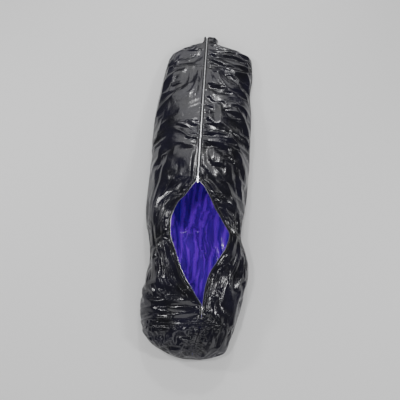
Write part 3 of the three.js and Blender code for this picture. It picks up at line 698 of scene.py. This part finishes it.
def fit_to_inlet(points):
    """Brings cloth near the inlet down to its flange, and marks what the flange covers."""
    distance, height, near = from_inlet(points)
    near = near & (distance < 26)
    weight = np.where(near, 1 - smoothstep(distance, 1.0, 26.0), 0)
    shift = (inlet_face - height) * weight
    return points + shift[..., None] * inlet_out, near & (distance < -2.5)


def press_behind_inlet(points, behind):
    """Pushes a layer near the inlet back behind its housing."""
    distance, height, near = from_inlet(points)
    weight = 1 - smoothstep(distance, 4.0, 40.0)
    push = np.minimum(0, inlet_face - behind - height) * weight * near
    return points + push[..., None] * inlet_out


# ---------- front skins ----------


def panel_grid(side, low_y, high_y, edge, cell):
    """Rows, points, normals and distances from the seam and the zip of one front panel."""
    y = rows_between(low_y, high_y, cell)
    far = zip_arc(y, side) - np.where(y > CREST_Y, edge, 0.3) * slant(y, side)
    columns = round(np.median(far) / cell / COARSEST) * COARSEST + 1
    arcs = 0.3 + np.linspace(0, 1, columns) * (far - 0.3)[:, None]
    points, normal = surface(y, side, arcs)
    return y, arcs, far, points, normal


def near_rows(y, seams, width):
    """0 on the seams' rows, rising to 1 "width" away from them."""
    return np.min([smoothstep(np.abs(y - s), 2.0, width) for s in seams], 0)


# Folds over each front half: row, their direction at the side seam and at the zip (degrees, from
# 0 straight to the zip to 90 straight to the head), how deep they are and how crumpled it is between.
FOLDS = {
    -1: [
        (-1100, 40, 60, 0.03, 0.05), (-1000, 20, 20, 0.04, 0.04), (-900, 8, 12, 0.06, 0.008),
        (-790, 5, -35, 0.06, 0.008), (-690, 120, 120, 0.05, 0.012), (-560, 95, 112, 0.045, 0.02),
        (-400, 80, 90, 0.045, 0.02), (-250, 85, 62, 0.04, 0.01), (-60, 75, 85, 0.03, 0.006),
        (60, 30, 80, 0.014, 0.003), (150, 25, -25, 0.022, 0.006), (260, 30, 0, 0.016, 0.004),
        (420, 33, 40, 0.018, 0.003), (620, 40, 60, 0.018, 0.003), (800, 40, 70, 0.016, 0.004),
        (920, 25, 60, 0.03, 0.008), (1045, 40, 80, 0.03, 0.01),
    ],
    1: [
        (-1100, 60, 60, 0.03, 0.05), (-1000, 70, 60, 0.03, 0.04), (-900, 95, 90, 0.035, 0.01),
        (-760, 100, 108, 0.055, 0.012), (-600, 95, 108, 0.06, 0.015), (-460, 90, 90, 0.05, 0.015),
        (-300, 80, 60, 0.04, 0.015), (-150, 85, 58, 0.03, 0.015), (0, 85, 45, 0.022, 0.012),
        (130, 30, 0, 0.03, 0.016), (230, 40, 10, 0.03, 0.018), (400, 45, 30, 0.03, 0.012),
        (600, 50, 55, 0.03, 0.008), (760, 60, 60, 0.03, 0.006), (880, 10, 30, 0.035, 0.01),
        (1045, 40, 70, 0.03, 0.01),
    ],
}  # fmt: skip


# Single creases that stand out: side, then row and distance from the zip at both ends, height, width.
CREASES = [
    (-1, (780, 34), (520, 84), 5.0, 22), (-1, (700, 60), (500, 44), 4.0, 16),
    (1, (775, 22), (745, 80), 4.0, 16), (1, (745, 72), (570, 170), 5.0, 24),
    (1, (700, 50), (600, 105), 3.0, 14), (-1, (275, 135), (215, 26), 5.0, 22),
    (-1, (225, 140), (150, 44), 5.0, 20), (1, (215, 18), (208, 84), 4.5, 16),
    (1, (275, 96), (160, 112), 4.0, 18), (1, (165, 104), (150, 150), 3.5, 14),
    (1, (500, 205), (380, 260), 5.0, 24), (-1, (560, 330), (760, 170), 6.0, 50),
    (-1, (330, 350), (560, 150), 6.0, 56), (-1, (150, 360), (330, 190), 6.0, 50),
    (1, (60, 46), (-140, 150), 4.5, 20), (1, (120, 150), (40, 200), 4.0, 18),
    (1, (20, 300), (-160, 330), 5.0, 26), (1, (-150, 100), (-260, 150), 4.0, 18),
    (-1, (-740, 60), (-850, 40), 5.0, 22), (-1, (-900, 60), (-880, 190), 5.0, 20),
    (-1, (-850, 120), (-830, 260), 5.0, 20), (-1, (-800, 110), (-770, 250), 5.0, 22),
    (-1, (-945, 66), (-975, 110), 5.0, 18), (1, (-640, 80), (-800, 150), 5.0, 22),
    (1, (900, 60), (850, 260), 6.0, 26), (1, (860, 250), (700, 320), 6.0, 30),
    (-1, (880, 60), (840, 260), 4.0, 30),
]  # fmt: skip


def crease_height(side, rows, from_zip):
    """Height of the single creases: sharp ridges that fade out at both ends."""
    total = 0
    for where, (row_a, off_a), (row_b, off_b), height, width in CREASES:
        if where != side:
            continue
        along, across = row_b - row_a, off_b - off_a
        length = math.hypot(along, across)
        run = ((rows - row_a) * along + (from_zip - off_a) * across) / length
        bow = 0.06 * length * np.sin(math.pi * np.clip(run / length, 0, 1))
        beside = np.abs(((rows - row_a) * across - (from_zip - off_a) * along) / length + bow)
        fade = smoothstep(run, -0.25 * length, 0.3 * length)
        fade = fade * smoothstep(-run, -1.25 * length, -0.7 * length)
        total = total + height * fade * np.exp(-((beside / width) ** 1.3) * 2)
    return total


def fold_excess(side, rows, share, rng):
    """Directions of a front half's folds, and the excess length along, across and on both diagonals."""
    at_row, at_seam, at_zip, depth, crumpled = np.array(FOLDS[side], float).T
    at_seam, at_zip = (np.exp(2j * np.radians(angle)) for angle in (at_seam, at_zip))
    columns = at_seam.real, at_seam.imag, at_zip.real, at_zip.imag, depth, crumpled
    by_row = [np.interp(rows, at_row, column) for column in columns]
    seam_cos, seam_sin, zip_cos, zip_sin, depth, crumpled = by_row
    sine = seam_sin * (1 - share) + zip_sin * share
    turn = np.arctan2(sine, seam_cos * (1 - share) + zip_cos * share) / 2
    turn = turn + 0.35 * soft_noise(turn.shape, (34, 24), rng)
    depth = depth * np.exp(0.6 * soft_noise(turn.shape, (30, 20), rng))
    crumpled = crumpled * np.exp(0.8 * soft_noise(turn.shape, (22, 16), rng))
    cos, sin = np.cos(turn), np.sin(turn)
    kinds = (cos**2, sin**2, (cos - sin) ** 2 / 2, (cos + sin) ** 2 / 2)
    return turn, [depth * d + crumpled for d in kinds]


# Room of the front skins below and above the surface, and how far they may billow over that.
SKIN_DEEP, SKIN_HIGH, BILLOW = 7.0, 8.0, 6.0


def front_skin(name, side):
    y, arcs, far, flat, normal = panel_grid(side, FOOT_Y, NECK_SEAM_Y, SHELL_EDGE, CELL)
    shape = arcs.shape
    rng = np.random.default_rng(7 if side < 0 else 11)
    to_seam, to_zip = arcs, far[:, None] - arcs
    rows = y[:, None]
    turn, excess = fold_excess(side, rows, arcs / far[:, None], rng)
    seams = near_rows(rows, (YOKE_SEAM_Y, FOOT_SEAM_Y), 26)
    ends = smoothstep(NECK_SEAM_Y - rows, 0, 40) * smoothstep(rows - FOOT_Y, 0, 16)
    room = np.broadcast_to(smoothstep(to_seam, 0, 30) * smoothstep(to_zip, 0, 34) * ends, shape)
    seam_room = 0.12 + 0.88 * seams
    billow = np.maximum(0, soft_noise(shape, (44, 34), rng)) * BILLOW
    low = -SKIN_DEEP * room * seam_room * (1 - 0.8 * smoothstep(rows, 900, 985))
    high = (SKIN_HIGH + billow) * room * seam_room
    high = np.where(to_zip < 34, np.minimum(high, 0.05 * to_zip + 7.0 * smoothstep(to_zip, 0, 60)), high)
    skin = crumple(flat, normal, low, high, excess, turn, 3 if side < 0 else 5)
    creases = crease_height(side, rows, to_zip) * np.minimum(1, room * seam_room)
    skin = skin + normal * creases[..., None]
    skip = None
    if side > 0:
        skin, skip = fit_to_inlet(skin)
    for piece, low_y, high_y, node in (
        ("foot", FOOT_Y, FOOT_SEAM_Y, "foot_shell"),
        ("front", FOOT_SEAM_Y, YOKE_SEAM_Y, f"{name}_front_shell"),
        ("yoke", YOKE_SEAM_Y, NECK_SEAM_Y, f"{name}_yoke_shell"),
    ):
        pick = (y >= low_y - 3) & (y <= high_y + 3)
        covered = None if skip is None else skip[pick]
        part = cloth_object(f"{name}_{piece}_skin", skin[pick], normal[pick], SHELL_THICK, covered)
        put(part, BLACK, [node])


# ---------- padding and inner layers ----------


def inner_sheet(name, side, rows, depth, thickness, columns=(0.0, 1.0)):
    """A plain sheet under a front half, between two rows and two shares of the way to the zip."""
    _, arcs, _, flat, normal = panel_grid(side, *rows, BATTING_EDGE, 12)
    pick = slice(*(round(share * arcs.shape[1]) for share in columns))
    grid = (flat - normal * depth)[:, pick]
    if side > 0:
        grid = press_behind_inlet(grid, PADDING_BEHIND)
    return cloth_object(name, grid, normal[:, pick], thickness)


def batting_pad(name, side):
    top, bottom = BATTING
    pad = inner_sheet(f"{name}_batting_pad", side, (FOOT_Y + 12, BATTING_HEAD_Y), top, bottom - top)
    zones = [f"{name}_{zone}_batting" for zone in ("yoke", "chest", "hip", "thigh", "shin")]
    put(pad, WADDING, [*zones, "foot_batting"])


def front_heater(name, side):
    heater = inner_sheet(f"{name}_heater_film", side, (20, 680), HEATER_DEPTH, 0.4, (0.15, 0.8))
    put(heater, CARBON, [f"{name}_front_heater"])


def lining_object(name, sheet, flat, normal):
    # The lining is painted darker in its fold valleys and paler on its crests: painted shade and painted
    # highlight.
    return cloth_object(name, sheet, normal, LINING_THICK, folds=fold_shade_mask(sheet, flat, normal))


def lining_depth(y):
    return LINING_DEPTH + (NECK_LINING_DEPTH - LINING_DEPTH) * np.clip((y - 975) / 55, 0, 1)


def front_lining(name, side):
    y, arcs, far, flat, normal = panel_grid(side, FOOT_Y + 14, NECK_SEAM_Y, BATTING_EDGE, 7.5)
    flat = flat - normal * lining_depth(y)[:, None, None]
    shape = arcs.shape
    rng = np.random.default_rng(21 + side)
    room = smoothstep(arcs, 0, 30) * smoothstep(far[:, None] - arcs, 0, 30)
    room = room * smoothstep(NECK_SEAM_Y - y, 60, 150)[:, None] * smoothstep(y - FOOT_Y, 10, 60)[:, None]
    amount = uneven(shape, (20, 12), rng, 0.03, 0.03)
    turn = math.pi / 2 + 0.5 * soft_noise(shape, (24, 16), rng)
    sheet = crumple(flat, -normal, 0.0, 9.0 * room, [amount] * 4, turn, 31 + side, LINING_CREASING)
    if side > 0:
        sheet = press_behind_inlet(sheet, LINING_BEHIND)
    part = lining_object(f"{name}_lining_sheet", sheet, flat, -normal)
    put(part, BLUE, [f"{name}_lining", "foot_lining"])


# ---------- base ----------


def base_grid(cell):
    """Points and outward normals of the base, left seam to right seam, foot end to head."""
    steps = max(4, round(34 / cell))
    rim = np.linspace(math.asin(1.2 / SEAM_Z), math.pi / 2, steps)
    turn = np.linspace(math.pi / 2 - 0.06, 0, steps)[:-1]
    start = FOOT_Y + SEAM_Z
    y = np.concatenate([FOOT_Y + SEAM_Z * (1 - np.sin(turn)), rows_between(start, NECK_SEAM_Y, cell)])
    flatness = np.concatenate([np.cos(turn), np.ones(len(y) - len(turn))])[:, None]
    end = np.sqrt(1 - flatness**2)
    halves = []
    for side in BOTH:
        outward = plan_normal(y, side)[:, None, :]
        share, rise = np.sin(rim)[None, :], np.cos(rim)[None, :]
        inset = SEAM_Z * (1 - rise) * flatness + 6 * share * (1 - flatness)
        under = np.zeros_like(end * share), -end * np.ones_like(share), -share * flatness
        normal = unit(outward * rise[..., None] + np.stack(under, -1))
        corner = np.stack([outline_at[side](y), y, np.zeros_like(y)], -1)[:, None, :]
        points = corner - outward * inset[..., None]
        points[..., 2] = SEAM_Z * (1 - share * flatness)
        halves.append((points, normal))
    (left, left_normal), (right, right_normal) = halves
    count = max(8, round(560 / cell))
    t = np.linspace(0, 1, count + 2)[1:-1][None, :, None]
    floor_points = left[:, -1:] * (1 - t) + right[:, -1:] * t
    floor_normal = unit(left_normal[:, -1:] * (1 - t) + right_normal[:, -1:] * t)
    points = np.concatenate([left, floor_points, right[:, ::-1]], 1)
    normal = np.concatenate([left_normal, floor_normal, right_normal[:, ::-1]], 1)
    kept = slice(len(y) - (len(y) - 1) % COARSEST)
    return y[kept], points[kept], normal[kept]


def base_skin():
    _, flat, normal = base_grid(8.0)
    shape = flat.shape[:2]
    rng = np.random.default_rng(41)
    amount = uneven(shape, (20, 10), rng, 0.02, 0.04)
    upright = 1 - np.abs(normal[..., 2])
    high = np.minimum(5.0, np.maximum(0, flat[..., 2] - 1.0)) * upright
    turn = 1.2 * soft_noise(shape, (24, 16), rng)
    skin = crumple(flat, normal, -2.5, high, [amount] * 4, turn, 43, CREASING[1:])
    skin[..., 2] = np.maximum(skin[..., 2], 0)
    part = put(cloth_object("base_skin", skin, normal, SHELL_THICK), BLACK, ["base_outer_shell"])


def base_lining():
    y, flat, normal = base_grid(5.2)
    flat = flat - normal * lining_depth(y)[:, None, None]
    shape = flat.shape[:2]
    rng = np.random.default_rng(51)
    amount = uneven(shape, (24, 16), rng, 0.07, 0.07, 1.5)
    amount = amount * smoothstep(NECK_SEAM_Y - y, 60, 160)[:, None]
    room = smoothstep(NECK_SEAM_Y - y, 50, 180)[:, None] * smoothstep(y - FOOT_Y, 20, 80)[:, None]
    across = np.linspace(0, 1, shape[1])
    room = room * smoothstep(np.minimum(across, 1 - across), 0.0, 0.08)[None, :]
    billow = 10 * np.maximum(0, soft_noise(shape, (26, 20), rng))
    turn = math.pi / 2 + 0.3 * soft_noise(shape, (24, 16), rng)
    excess = [amount * 0.2, amount * 1.3, amount * 0.75, amount * 0.75]
    sheet = crumple(flat, -normal, 0.0, (16.0 + billow) * room, excess, turn, 53, LINING_CREASING)
    part = lining_object("base_lining_sheet", sheet, flat, -normal)
    put(part, BLUE, ["base_lining"])


def base_pad():
    """Wadding under the base lining, inside the rim."""
    y = np.linspace(-1030, 968, 140)
    inset = 28.0
    left = outline_at[-1](y) + inset / np.abs(plan_normal(y, -1)[:, 0])
    right = outline_at[1](y) - inset / np.abs(plan_normal(y, 1)[:, 0])
    t = np.linspace(0, 1, 50)
    x = left[:, None] * (1 - t) + right[:, None] * t
    layers = []
    for z, sign in ((11.0, 1), (3.6, -1)):
        dimple = 0.5 * (np.cos(x / 60 * math.pi) * np.cos(y / 60 * math.pi)[:, None])
        layers.append(np.stack([x, np.broadcast_to(y[:, None], x.shape), z - 0.8 + sign * dimple], -1))
    rows, columns = x.shape
    count = rows * columns
    faces = grid_faces(rows, columns)
    faces += [[k + count for k in f][::-1] for f in faces]
    at = np.arange(count).reshape(rows, columns)
    ring = [*at[0], *at[1:, -1], *at[-1, -2::-1], *at[-2:0:-1, 0]]
    ring = [int(k) for k in ring]
    for a, b in zip(ring, ring[1:] + ring[:1], strict=True):
        faces.append([b, a, a + count, b + count])
    vertices = np.concatenate([layer.reshape(-1, 3) for layer in layers])
    pad = mesh_object("base_batting_pad", vertices, faces)
    put(pad, WADDING, ["base_batting"])


# ---------- seams ----------

LAP_WIDTH, LAP_LIFT = 13, 1.1


def seam_lap(name, y0):
    """A welded lap over a cross seam, both sides of the zip."""
    parts = []
    for side in BOTH:
        rows = np.linspace(y0 - LAP_WIDTH / 2, y0 + LAP_WIDTH / 2, 7)
        far = zip_arc(rows, side) - (SHELL_EDGE if y0 > CREST_Y else 0.0) * slant(rows, side)
        arcs = 1.0 + np.linspace(0, 1, 90) * (far - 1.0)[:, None]
        points, normal = surface(rows, side, arcs)
        bulge = LAP_LIFT * (1 - ((rows - y0) / (LAP_WIDTH / 2)) ** 4)
        parts.append(cloth_object(f"{name}_{side}", points + normal * bulge[:, None, None], normal, 0.6))
    for part in parts:
        mesh = evaluated_mesh(part)
        part.modifiers.clear()
        part.data = mesh
    put(join(name, parts), BLACK)


def stitches(name, lines):
    """Rows of thread stitches along lines of (points, normals)."""
    pitch, length, radius = 5.0, 3.6, 0.35
    ring = [(math.cos(a), math.sin(a)) for a in np.linspace(0, 2 * math.pi, 7)[:-1]]
    stations = [(-0.5, 0.0), (-0.36, 1.0), (0.36, 1.0), (0.5, 0.0)]
    vertices, faces = [], []
    for points, normals in lines:
        travelled = running(np.linalg.norm(np.diff(points, axis=0), axis=1))
        for at in np.arange(pitch, travelled[-1] - pitch, pitch):
            centre = along_line(points, travelled, at)
            ahead = unit(along_line(points, travelled, at + 0.5) - centre)
            up = unit(along_line(normals, travelled, at))
            side = np.cross(ahead, up)
            start = len(vertices)
            for along, size in stations:
                lift = up * radius * (0.6 if size else 0.0)
                for c, s in ring:
                    round_it = (side * c + up * s * 0.8) * radius * max(size, 0.35)
                    vertices.append(centre + ahead * along * length + round_it + lift)
            for k in range(3):
                for j in range(6):
                    a, b = start + k * 6 + j, start + k * 6 + (j + 1) % 6
                    faces.append([a, b, b + 6, a + 6])
            faces.append([start + j for j in reversed(range(6))])
            faces.append([start + 18 + j for j in range(6)])
    put(mesh_object(name, vertices, faces), THREAD)


def cross_line(y0, side):
    """A line across the front at y0, on top of the seam lap, with its normals."""
    rows = np.array([y0])
    edge = (SHELL_EDGE + 2) if y0 > CREST_Y else 1.0
    arcs = np.linspace(4, zip_arc(rows, side)[0] - edge, 160)[None, :]
    points, normal = surface(rows, side, arcs)
    return points[0] + normal[0] * 0.9, normal[0]


def zip_side_line(side):
    """A line beside the zip, just inside the skin's edge, with its normals."""
    rows = np.arange(CREST_Y + 8, 1040, 4.0)
    arcs = (zip_arc(rows, side) - (SHELL_EDGE + 3.5) * slant(rows, side))[:, None]
    points, normal = surface(rows, side, arcs)
    return points[:, 0] + normal[:, 0] * 0.1, normal[:, 0]


def rim_piping():
    turn_y = FOOT_Y + 60
    around_foot, beside = np.linspace(FOOT_Y, turn_y, 40), np.linspace(turn_y, NECK_SEAM_Y, 420)
    rows = np.unique(np.concatenate([around_foot, beside]))
    height = np.full_like(rows, SEAM_Z - 0.5)
    left, right = (np.stack([outline_at[side](rows), rows, height], -1) for side in BOTH)
    foot = left[:1] * 0.5 + right[:1] * 0.5
    path = np.concatenate([left[::-1], foot, right])
    put(tube_object("rim_piping", path, 2.1), BLACK)


def neck_piping():
    """Piping over the seam between the bag and its collar."""
    row = np.array([NECK_SEAM_Y + 0.5])
    for name, side in SIDES.items():
        far = zip_arc(row, side)[0] - SHELL_EDGE - 1
        points, normal = surface(row, side, np.linspace(0.5, far, 60)[None, :])
        path = points[0] + normal[0] * 0.4
        put(tube_object(f"{name}_neck_piping", path, 1.8), BLACK)


# ---------- neck collar ----------


def neck_collar():
    y = np.linspace(NECK_SEAM_Y + 0.3, HEAD_Y - 1.5, 17)
    halves = []
    base = []
    rim = np.linspace(0.15, math.pi / 2, 9)
    down = np.array([0, 0, -1.0])
    for side in BOTH:
        total = section(y, side)[2][:, -1]
        arcs = np.linspace(0, 1, 33) * (total - SHELL_EDGE)[:, None]
        halves.append(surface(y, side, arcs))
        outward = plan_normal(np.minimum(y, HEAD_Y - 1.2), side)[:, None, :]
        points = np.stack([outline_at[side](y), y, np.zeros_like(y)], -1)[:, None, :]
        points = points - outward * (SEAM_Z * (1 - np.cos(rim)))[None, :, None]
        points[..., 2] = SEAM_Z * (1 - np.sin(rim))
        normal = outward * np.cos(rim)[None, :, None] + down * np.sin(rim)[None, :, None]
        base.append((points, unit(normal)))
    t = np.linspace(0, 1, 12)[1:-1][None, :, None]
    floor_points = base[0][0][:, -1:] * (1 - t) + base[1][0][:, -1:] * t
    floor = floor_points, np.broadcast_to(down, floor_points.shape)
    grid, normal = (
        np.concatenate([halves[0][k][:, ::-1], base[0][k], floor[k], base[1][k][:, ::-1], halves[1][k]], 1)
        for k in (0, 1)
    )
    rng = np.random.default_rng(61)
    ripple = soft_noise(grid.shape[:2], (5, 6), rng) * 1.3 + soft_noise(grid.shape[:2], (2.5, 3), rng) * 0.4
    across = np.arange(grid.shape[1])
    hold = smoothstep(np.minimum(across, across[-1] - across), 0, 8)[None, :]
    grid = grid + normal * (ripple * hold)[..., None]
    grid[..., 2] = np.maximum(grid[..., 2], 0)
    part = put(cloth_object("neck_collar_skin", grid, normal, 0.9), BLACK, ["neck_collar"])
    edge = grid[-1] + np.array([0, 0.6, 0])
    edge[:, 2] = np.maximum(edge[:, 2], 1.6)
    put(tube_object("collar_binding", edge, 1.6), BLACK)


# ---------- zip ----------

TOOTH_PITCH = 2.6
TOOTH_PLAN = [(-0.9, 0.38), (-0.35, 0.72), (0.35, 0.5), (1.3, 0.62), (3.2, 0.78)]
TOOTH_TOP, TOOTH_CHAMFER, TOOTH_MIDDLE = 1.25, 0.25, 1.15


def tooth_shape():
    """Tooth vertices (from the centre line, along, up) and faces."""
    plan = TOOTH_PLAN + [(x, -y) for x, y in reversed(TOOTH_PLAN)]
    full = TOOTH_TOP - TOOTH_CHAMFER
    rings = [(-TOOTH_TOP, 0.8), (-full, 1.0), (full, 1.0), (TOOTH_TOP, 0.8)]
    vertices = [
        (TOOTH_MIDDLE + (x - TOOTH_MIDDLE) * (0.5 + 0.5 * k), y * k, z) for z, k in rings for x, y in plan
    ]
    n = len(plan)
    faces = []
    for start in (0, n, 2 * n):
        for j in range(n):
            a, b = start + j, start + (j + 1) % n
            faces.append([a, b, b + n, a + n])
    faces += [list(reversed(range(n))), list(range(3 * n, 4 * n))]
    return np.array(vertices), faces


def zip_teeth(name, side):
    rows = np.linspace(ZIP_TOP_Y, ZIP_BOTTOM_Y, 2400)
    arcs = zip_arc(rows, side)[:, None]
    line, normal = surface(rows, side, arcs)
    inner, _ = surface(rows, side, arcs - 3 * slant(rows, side)[:, None])
    normal = normal[:, 0]
    line, inner = line[:, 0] - normal * CHAIN_DEPTH, inner[:, 0] - normal * CHAIN_DEPTH
    travelled = running(np.linalg.norm(np.diff(line, axis=0), axis=1))
    shape, faces = tooth_shape()
    first = TOOTH_PITCH * (0.5 if side < 0 else 1.0)
    at = np.arange(first, travelled[-1], TOOTH_PITCH)
    centre = along_line(line, travelled, at)
    ahead = unit(along_line(line, travelled, at + 1) - along_line(line, travelled, at - 1))
    up = unit(along_line(normal, travelled, at))
    away = unit(np.cross(ahead, up))
    inwards = along_line(inner, travelled, at) - centre
    away *= np.sign(np.einsum("ij,ij->i", away, inwards))[:, None]
    all_vertices = centre[:, None]
    for axis, k in ((away, 0), (ahead, 1), (up, 2)):
        all_vertices = all_vertices + axis[:, None] * shape[None, :, k : k + 1]
    count = len(shape)
    faces = [f[::-1] for f in faces] if side > 0 else faces
    all_faces = [[k * count + v for v in f] for k in range(len(at)) for f in faces]
    obj = mesh_object(f"{name}_teeth", all_vertices.reshape(-1, 3), all_faces, smooth=False)
    put(obj, SILVER, [f"{name}_zip_teeth"])


def zip_tape(name, side):
    rows = np.linspace(CREST_Y + 4, 1094, 460)
    far = zip_arc(rows, side)[:, None]
    spread = np.linspace(TAPE_TO, TAPE_FROM, 12)[None, :]
    arcs = far - spread * slant(rows, side)[:, None]
    points, normal = surface(rows, side, arcs)
    obj = cloth_object(f"{name}_tape", points - normal * 1.25, normal, 0.7)
    put(obj, TAPE, [f"{name}_zip_tape"])


def end_patch():
    """A film tab welded over the lower end of the zip."""
    rows = np.linspace(CREST_Y - 12, ZIP_BOTTOM_Y - 6, 9)
    halves = []
    for side in BOTH:
        far = zip_arc(rows, side)[:, None]
        halves.append(surface(rows, side, far - np.linspace(13, 0, 8)[None, :]))
    left, right = halves
    grid, normal = (np.concatenate([left[k], right[k][:, -2::-1]], 1) for k in (0, 1))
    across = np.linspace(-1, 1, grid.shape[1])
    bulge = 0.9 - 0.3 * across**4
    patch = grid + normal * bulge[None, :, None]
    put(cloth_object("zip_end_patch", patch, normal, SHELL_THICK), BLACK)


def slider_frame(x, y, along):
    """Matrix of a slider's across, forward and out axes, from its open end."""
    slope = UPPER_SLOPE if along > 0 else LOWER_SLOPE
    forward = Vector((0, along, along * slope)).normalized()
    out = Vector((0, -slope, 1)).normalized()
    across = forward.cross(out)
    origin = Vector((x, y, float(ridge_z(y)))) - out * CHAIN_DEPTH
    matrix = Matrix((across, forward, out)).transposed().to_4x4()
    matrix.translation = origin * MM
    return matrix


def rounded(points, corner):
    """A plan outline with its corners rounded off."""
    points = np.array(points, float)
    out = []
    for before, here, after in zip(np.roll(points, 1, 0), points, np.roll(points, -1, 0), strict=True):
        reach = min(corner, *(np.linalg.norm(end - here) * 0.45 for end in (before, after)))
        a, b = here + unit(before - here) * reach, here + unit(after - here) * reach
        for t in np.linspace(0, 1, 4):
            out.append(tuple(a * (1 - t) ** 2 + here * 2 * t * (1 - t) + b * t * t))
    return out


def slider(name, x, y, along):
    """A slider body and its pull tab, each one piece."""
    matrix = slider_frame(x, y, along)

    def lifted(z):
        return matrix @ Matrix.Translation((0, 0, z * MM))

    half = [(0, 2.6), (4.6, 0), (6, 1.4), (6, 9), (5.1, 15), (5.1, 22), (3.6, 24)]
    plan = half + [(-px, py) for px, py in reversed(half[1:])]
    parts = []
    for z in (2.3, -2.3):
        parts.append(plate_object("wing", [rounded(plan, 1.4)], 1.4, 0.45, lifted(z)))
    strip = [(4.6, 1.2), (5.9, 1.6), (5.9, 9), (5.0, 15), (5.0, 21.5), (4.3, 21.5), (4.4, 9)]
    for s in BOTH:
        flange = [rounded([(s * px, py) for px, py in strip], 0.4)]
        for z in (1.55, -1.55):
            parts.append(plate_object("flange", flange, 1.5, 0.3, lifted(z)))
    post = [(math.cos(a) * 0.5, 5 + math.sin(a) * 3) for a in np.linspace(0, 2 * math.pi, 13)[:-1]]
    parts.append(plate_object("post", [post], 4.2, 0.1, matrix))
    # The arch that the pull hangs on, drawn from the side and turned upright.
    half_turn = np.linspace(0, math.pi, 19)
    back = np.linspace(math.pi, 0, 19)
    outer = [(5.0 + 7 * (1 - math.cos(a)), 2.7 + 4.5 * math.sin(a) ** 0.6) for a in half_turn]
    inner = [(6.7 + 5.3 * (1 - math.cos(a)), 2.7 + 3.2 * math.sin(a) ** 0.6) for a in back]
    upright = matrix @ Matrix(((0, 0, 1, 0), (1, 0, 0, 0), (0, 1, 0, 0), (0, 0, 0, 1)))
    parts.append(plate_object("arch", [outer + inner], 3.0, 0.4, upright))
    body = f"{name}_slider"
    put(join(f"{name}_slider_body", parts), BRIGHT, [body], body)

    turn = math.pi if name == "lower" else 0.0
    hinge = matrix @ Matrix.Translation((0, 9 * MM, 4.5 * MM)) @ Matrix.Rotation(turn, 4, "Z")
    half = [(-3.3, 0.8), (-3.3, -11), (-4.5, -16), (-4.5, -33), (-2.6, -37)]
    outline = half + [(-px, py) for px, py in reversed(half)]
    window = [(-2.0, -0.8), (2.0, -0.8), (2.0, -10.6), (-2.0, -10.6)]
    eyelet = [(math.cos(a) * 1.5, -32 + math.sin(a) * 1.5) for a in np.linspace(0, 2 * math.pi, 17)[:-1]]
    outlines = [rounded(outline, 1.6), rounded(window, 0.5), eyelet]
    tab = plate_object(f"{name}_pull", outlines, 1.6, 0.35, hinge)
    put(tab, BRIGHT, [f"{name}_pull_tab"], f"{name}_pull")


# ---------- build ----------

for name, side in SIDES.items():
    batting_pad(name, side)
    front_skin(name, side)
    front_heater(name, side)
    front_lining(name, side)
    zip_tape(name, side)
    zip_teeth(name, side)
base_pad()
base_skin()
base_lining()
neck_collar()
neck_piping()
rim_piping()
end_patch()
slider("upper", ZIP_X, UPPER_Y + 1, 1)
slider("lower", LOWER_X, LOWER_Y - 4, -1)
CROSS_SEAMS = (YOKE_SEAM_Y, FOOT_SEAM_Y)
seam_lap("yoke_seam_lap", YOKE_SEAM_Y)
seam_lap("foot_seam_lap", FOOT_SEAM_Y)
seam_rows = [cross_line(y0 + d, side) for y0 in CROSS_SEAMS for d in (-4, 4) for side in BOTH]
stitches("seam_stitching", seam_rows + [zip_side_line(side) for side in BOTH])

# ---------- stage, camera and light ----------

bpy.ops.mesh.primitive_plane_add(size=30, location=(0, 0, -0.0008))
floor = bpy.context.object
floor.name = "floor"
paint(floor, Shader("pale_floor", Base_Color=(0.9, 0.9, 0.9, 1), Roughness=0.7).material)

CAMERA_AT = Vector((0.0106, -1.4239, 2.7189))
CAMERA_TILT = math.radians(65)
CAMERA_ROLL = math.radians(3.527)
camera_data = bpy.data.cameras.new("camera")
camera_data.lens = 43.67
camera_data.sensor_width = 36
camera = linked("camera", camera_data)
camera.location = CAMERA_AT
view = Matrix.Rotation(math.pi / 2 - CAMERA_TILT, 4, "X") @ Matrix.Rotation(CAMERA_ROLL, 4, "Z")
camera.rotation_euler = view.to_euler()
bpy.context.scene.camera = camera


# Area lights: where each stands, the row it points at, its size and its power.
LIGHTS = [
    ("key", (0.1, 2.8, 2.8), 0.2, (0.3, 0.25), 34),
    ("panel", (0, 4.4, 2.9), 0.2, (5.0, 2.2), 75),
    ("overhead", (-1.1, -0.9, 3.2), -0.4, (0.3, 0.3), 20),
    ("front", (0.4, -5.0, 2.8), 0, (6.0, 3.0), 104),
    ("side_left", (-2.6, 0.3, 2.3), 0, (0.3, 0.5), 30),
    ("side_right", (2.4, -0.6, 2.4), -0.2, (0.3, 0.5), 30),
]
for name, location, target_y, size, power in LIGHTS:
    data = bpy.data.lights.new(name, "AREA")
    data.shape = "RECTANGLE"
    data.size, data.size_y = size
    data.energy = power
    light = linked(name, data)
    light.location = location
    aim = Vector((0, target_y, 0)) - Vector(location)
    light.rotation_euler = aim.to_track_quat("-Z", "Y").to_euler()
world = bpy.data.worlds.new("world")
bpy.context.scene.world = world
world.use_nodes = True
background = world.node_tree.nodes["Background"].inputs
background["Color"].default_value = (1, 1, 1, 1)
background["Strength"].default_value = 0.2
